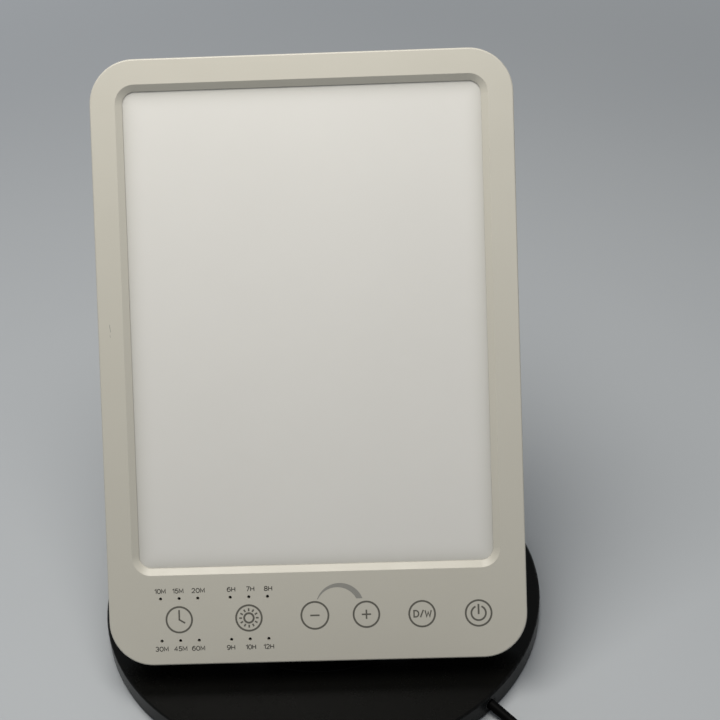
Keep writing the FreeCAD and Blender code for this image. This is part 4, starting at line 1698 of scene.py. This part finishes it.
@dataclass
class Studio:
    """Pale ground, soft light and the camera."""

    ground_reach: float = 8.0
    ground_cells: int = 8
    world_colour: str = "#D3D6DA"
    world_strength: float = 0.38
    board: StudioFinish = field(default_factory=StudioFinish)
    lamps: tuple[AreaLamp, ...] = (
        AreaLamp("key_lamp", (-0.08, -0.04, 0.82), (0.0, 0.02, 0.12), (0.6, 0.4), 5.8, "#FFFBF4"),
        AreaLamp("fill_lamp", (0.9, -1.1, 1.0), (0.0, 0.0, 0.1), (1.4, 1.0), 1.4, "#F6F8FF"),
        AreaLamp("back_lamp", (-0.8, 1.2, 0.55), (0.0, 0.0, 0.1), (1.4, 0.8), 3.0, "#F6F8FF"),
    )
    eye: Point3 = (0.0376, -0.5031, 0.4981)
    azimuth: float = 1.758
    elevation: float = 35.498
    roll: float = -2.74
    lens: float = 74.635
    sensor: float = 36.0
    nearest: float = 0.01
    farthest: float = 50.0

    def build(self) -> None:
        """Makes the ground, the world, the lamps and the camera."""
        self.lay_ground()
        self.light_world()
        for lamp in self.lamps:
            lamp.build()
        self.set_camera()
        bpy.context.scene.view_settings.view_transform = "Standard"

    def lay_ground(self) -> None:
        """Lays the pale ground under the lamp."""
        shape = bmesh.new()
        cells = self.ground_cells
        bmesh.ops.create_grid(shape, x_segments=cells, y_segments=cells, size=self.ground_reach)
        mesh = bpy.data.meshes.new("ground")
        shape.to_mesh(mesh)
        shape.free()
        mesh.materials.append(self.board.material())
        ground = put("ground", mesh)

    def light_world(self) -> None:
        """Sets the even light from all round, and the pale tone that the camera sees behind the ground."""
        world = bpy.data.worlds.new("soft_room")
        world.use_nodes = True
        tree = world.node_tree
        tree.nodes.clear()
        shades = []
        for colour, strength in (
            (self.world_colour, self.world_strength),
            (self.board.backdrop_colour, 1.0),
        ):
            shade = node(tree, "ShaderNodeBackground", {"Color": linear(colour), "Strength": strength})
            shades.append(shade.outputs[0])
        mixed = node(tree, "ShaderNodeMixShader", {0: seen_ray(tree), 1: shades[0], 2: shades[1]})
        node(tree, "ShaderNodeOutputWorld", {"Surface": mixed.outputs[0]})
        bpy.context.scene.world = world

    def set_camera(self) -> None:
        """Sets the camera where the lamp was seen from, with its slight roll."""
        side, tip = math.radians(self.azimuth), math.radians(self.elevation)
        ahead = Vector((-math.sin(side) * math.cos(tip), math.cos(side) * math.cos(tip), -math.sin(tip)))
        level = ahead.cross(Vector((0.0, 0.0, 1.0))).normalized()
        upright = level.cross(ahead)
        turn = math.radians(self.roll)
        right = level * math.cos(turn) + upright * math.sin(turn)
        up = upright * math.cos(turn) - level * math.sin(turn)
        data = bpy.data.cameras.new("viewpoint")
        data.lens = self.lens
        data.sensor_width = self.sensor
        data.clip_start = self.nearest
        data.clip_end = self.farthest
        camera = put("viewpoint", data)
        axes = Matrix((right, up, -ahead)).transposed().to_4x4()
        camera.matrix_world = Matrix.Translation(Vector(self.eye)) @ axes
        bpy.context.scene.camera = camera


@dataclass
class Fasteners:
    """The screws that can be seen from outside."""

    wardrobe: Wardrobe
    plane: HeadPlane = field(default_factory=HeadPlane)
    shell_across: float = 83.2
    shell_ups: tuple[float, ...] = (34.0, 130.0, 226.0)
    shell_depth: float = 17.0
    base_circle: float = 92.2
    base_count: int = 6
    base_first: float = 77.0
    base_height: float = 1.0

    def build(self) -> None:
        """Makes the screws of the back shell and of the base plate."""
        shell = [
            self.plane.point(side * self.shell_across, up, self.shell_depth)
            for side in (-1, 1)
            for up in self.shell_ups
        ]
        outward = (self.plane.point(0, 0, 1.0) - self.plane.point(0, 0, 0)).normalized()
        ScrewHeads(
            self.wardrobe, "shell_screws", "shell_cross_screws", Body.HEAD, outward, shell, head_radius=2.25
        ).build()
        base = []
        for place in range(self.base_count):
            angle = math.radians(self.base_first + 360.0 * place / self.base_count)
            spot = (self.base_circle * math.sin(angle), -self.base_circle * math.cos(angle), self.base_height)
            base.append(Vector(spot) * MM)
        ScrewHeads(
            self.wardrobe,
            "base_screws",
            "base_cross_screws",
            Body.BASE,
            Vector((0.0, 0.0, -1.0)),
            base,
            head_radius=2.55,
            head_height=1.15,
            crown=0.25,
        ).build()


def main() -> None:
    """Builds the scene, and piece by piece."""
    logging.basicConfig(level=logging.INFO, format="%(name)s: %(message)s")
    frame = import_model()
    wardrobe = Wardrobe()
    wardrobe.dress(frame)
    for builder in (Lead(wardrobe), KeyStrip(wardrobe), RailScuff(wardrobe), Fasteners(wardrobe), Studio()):
        builder.build()


if __name__ == "__main__":
    main()
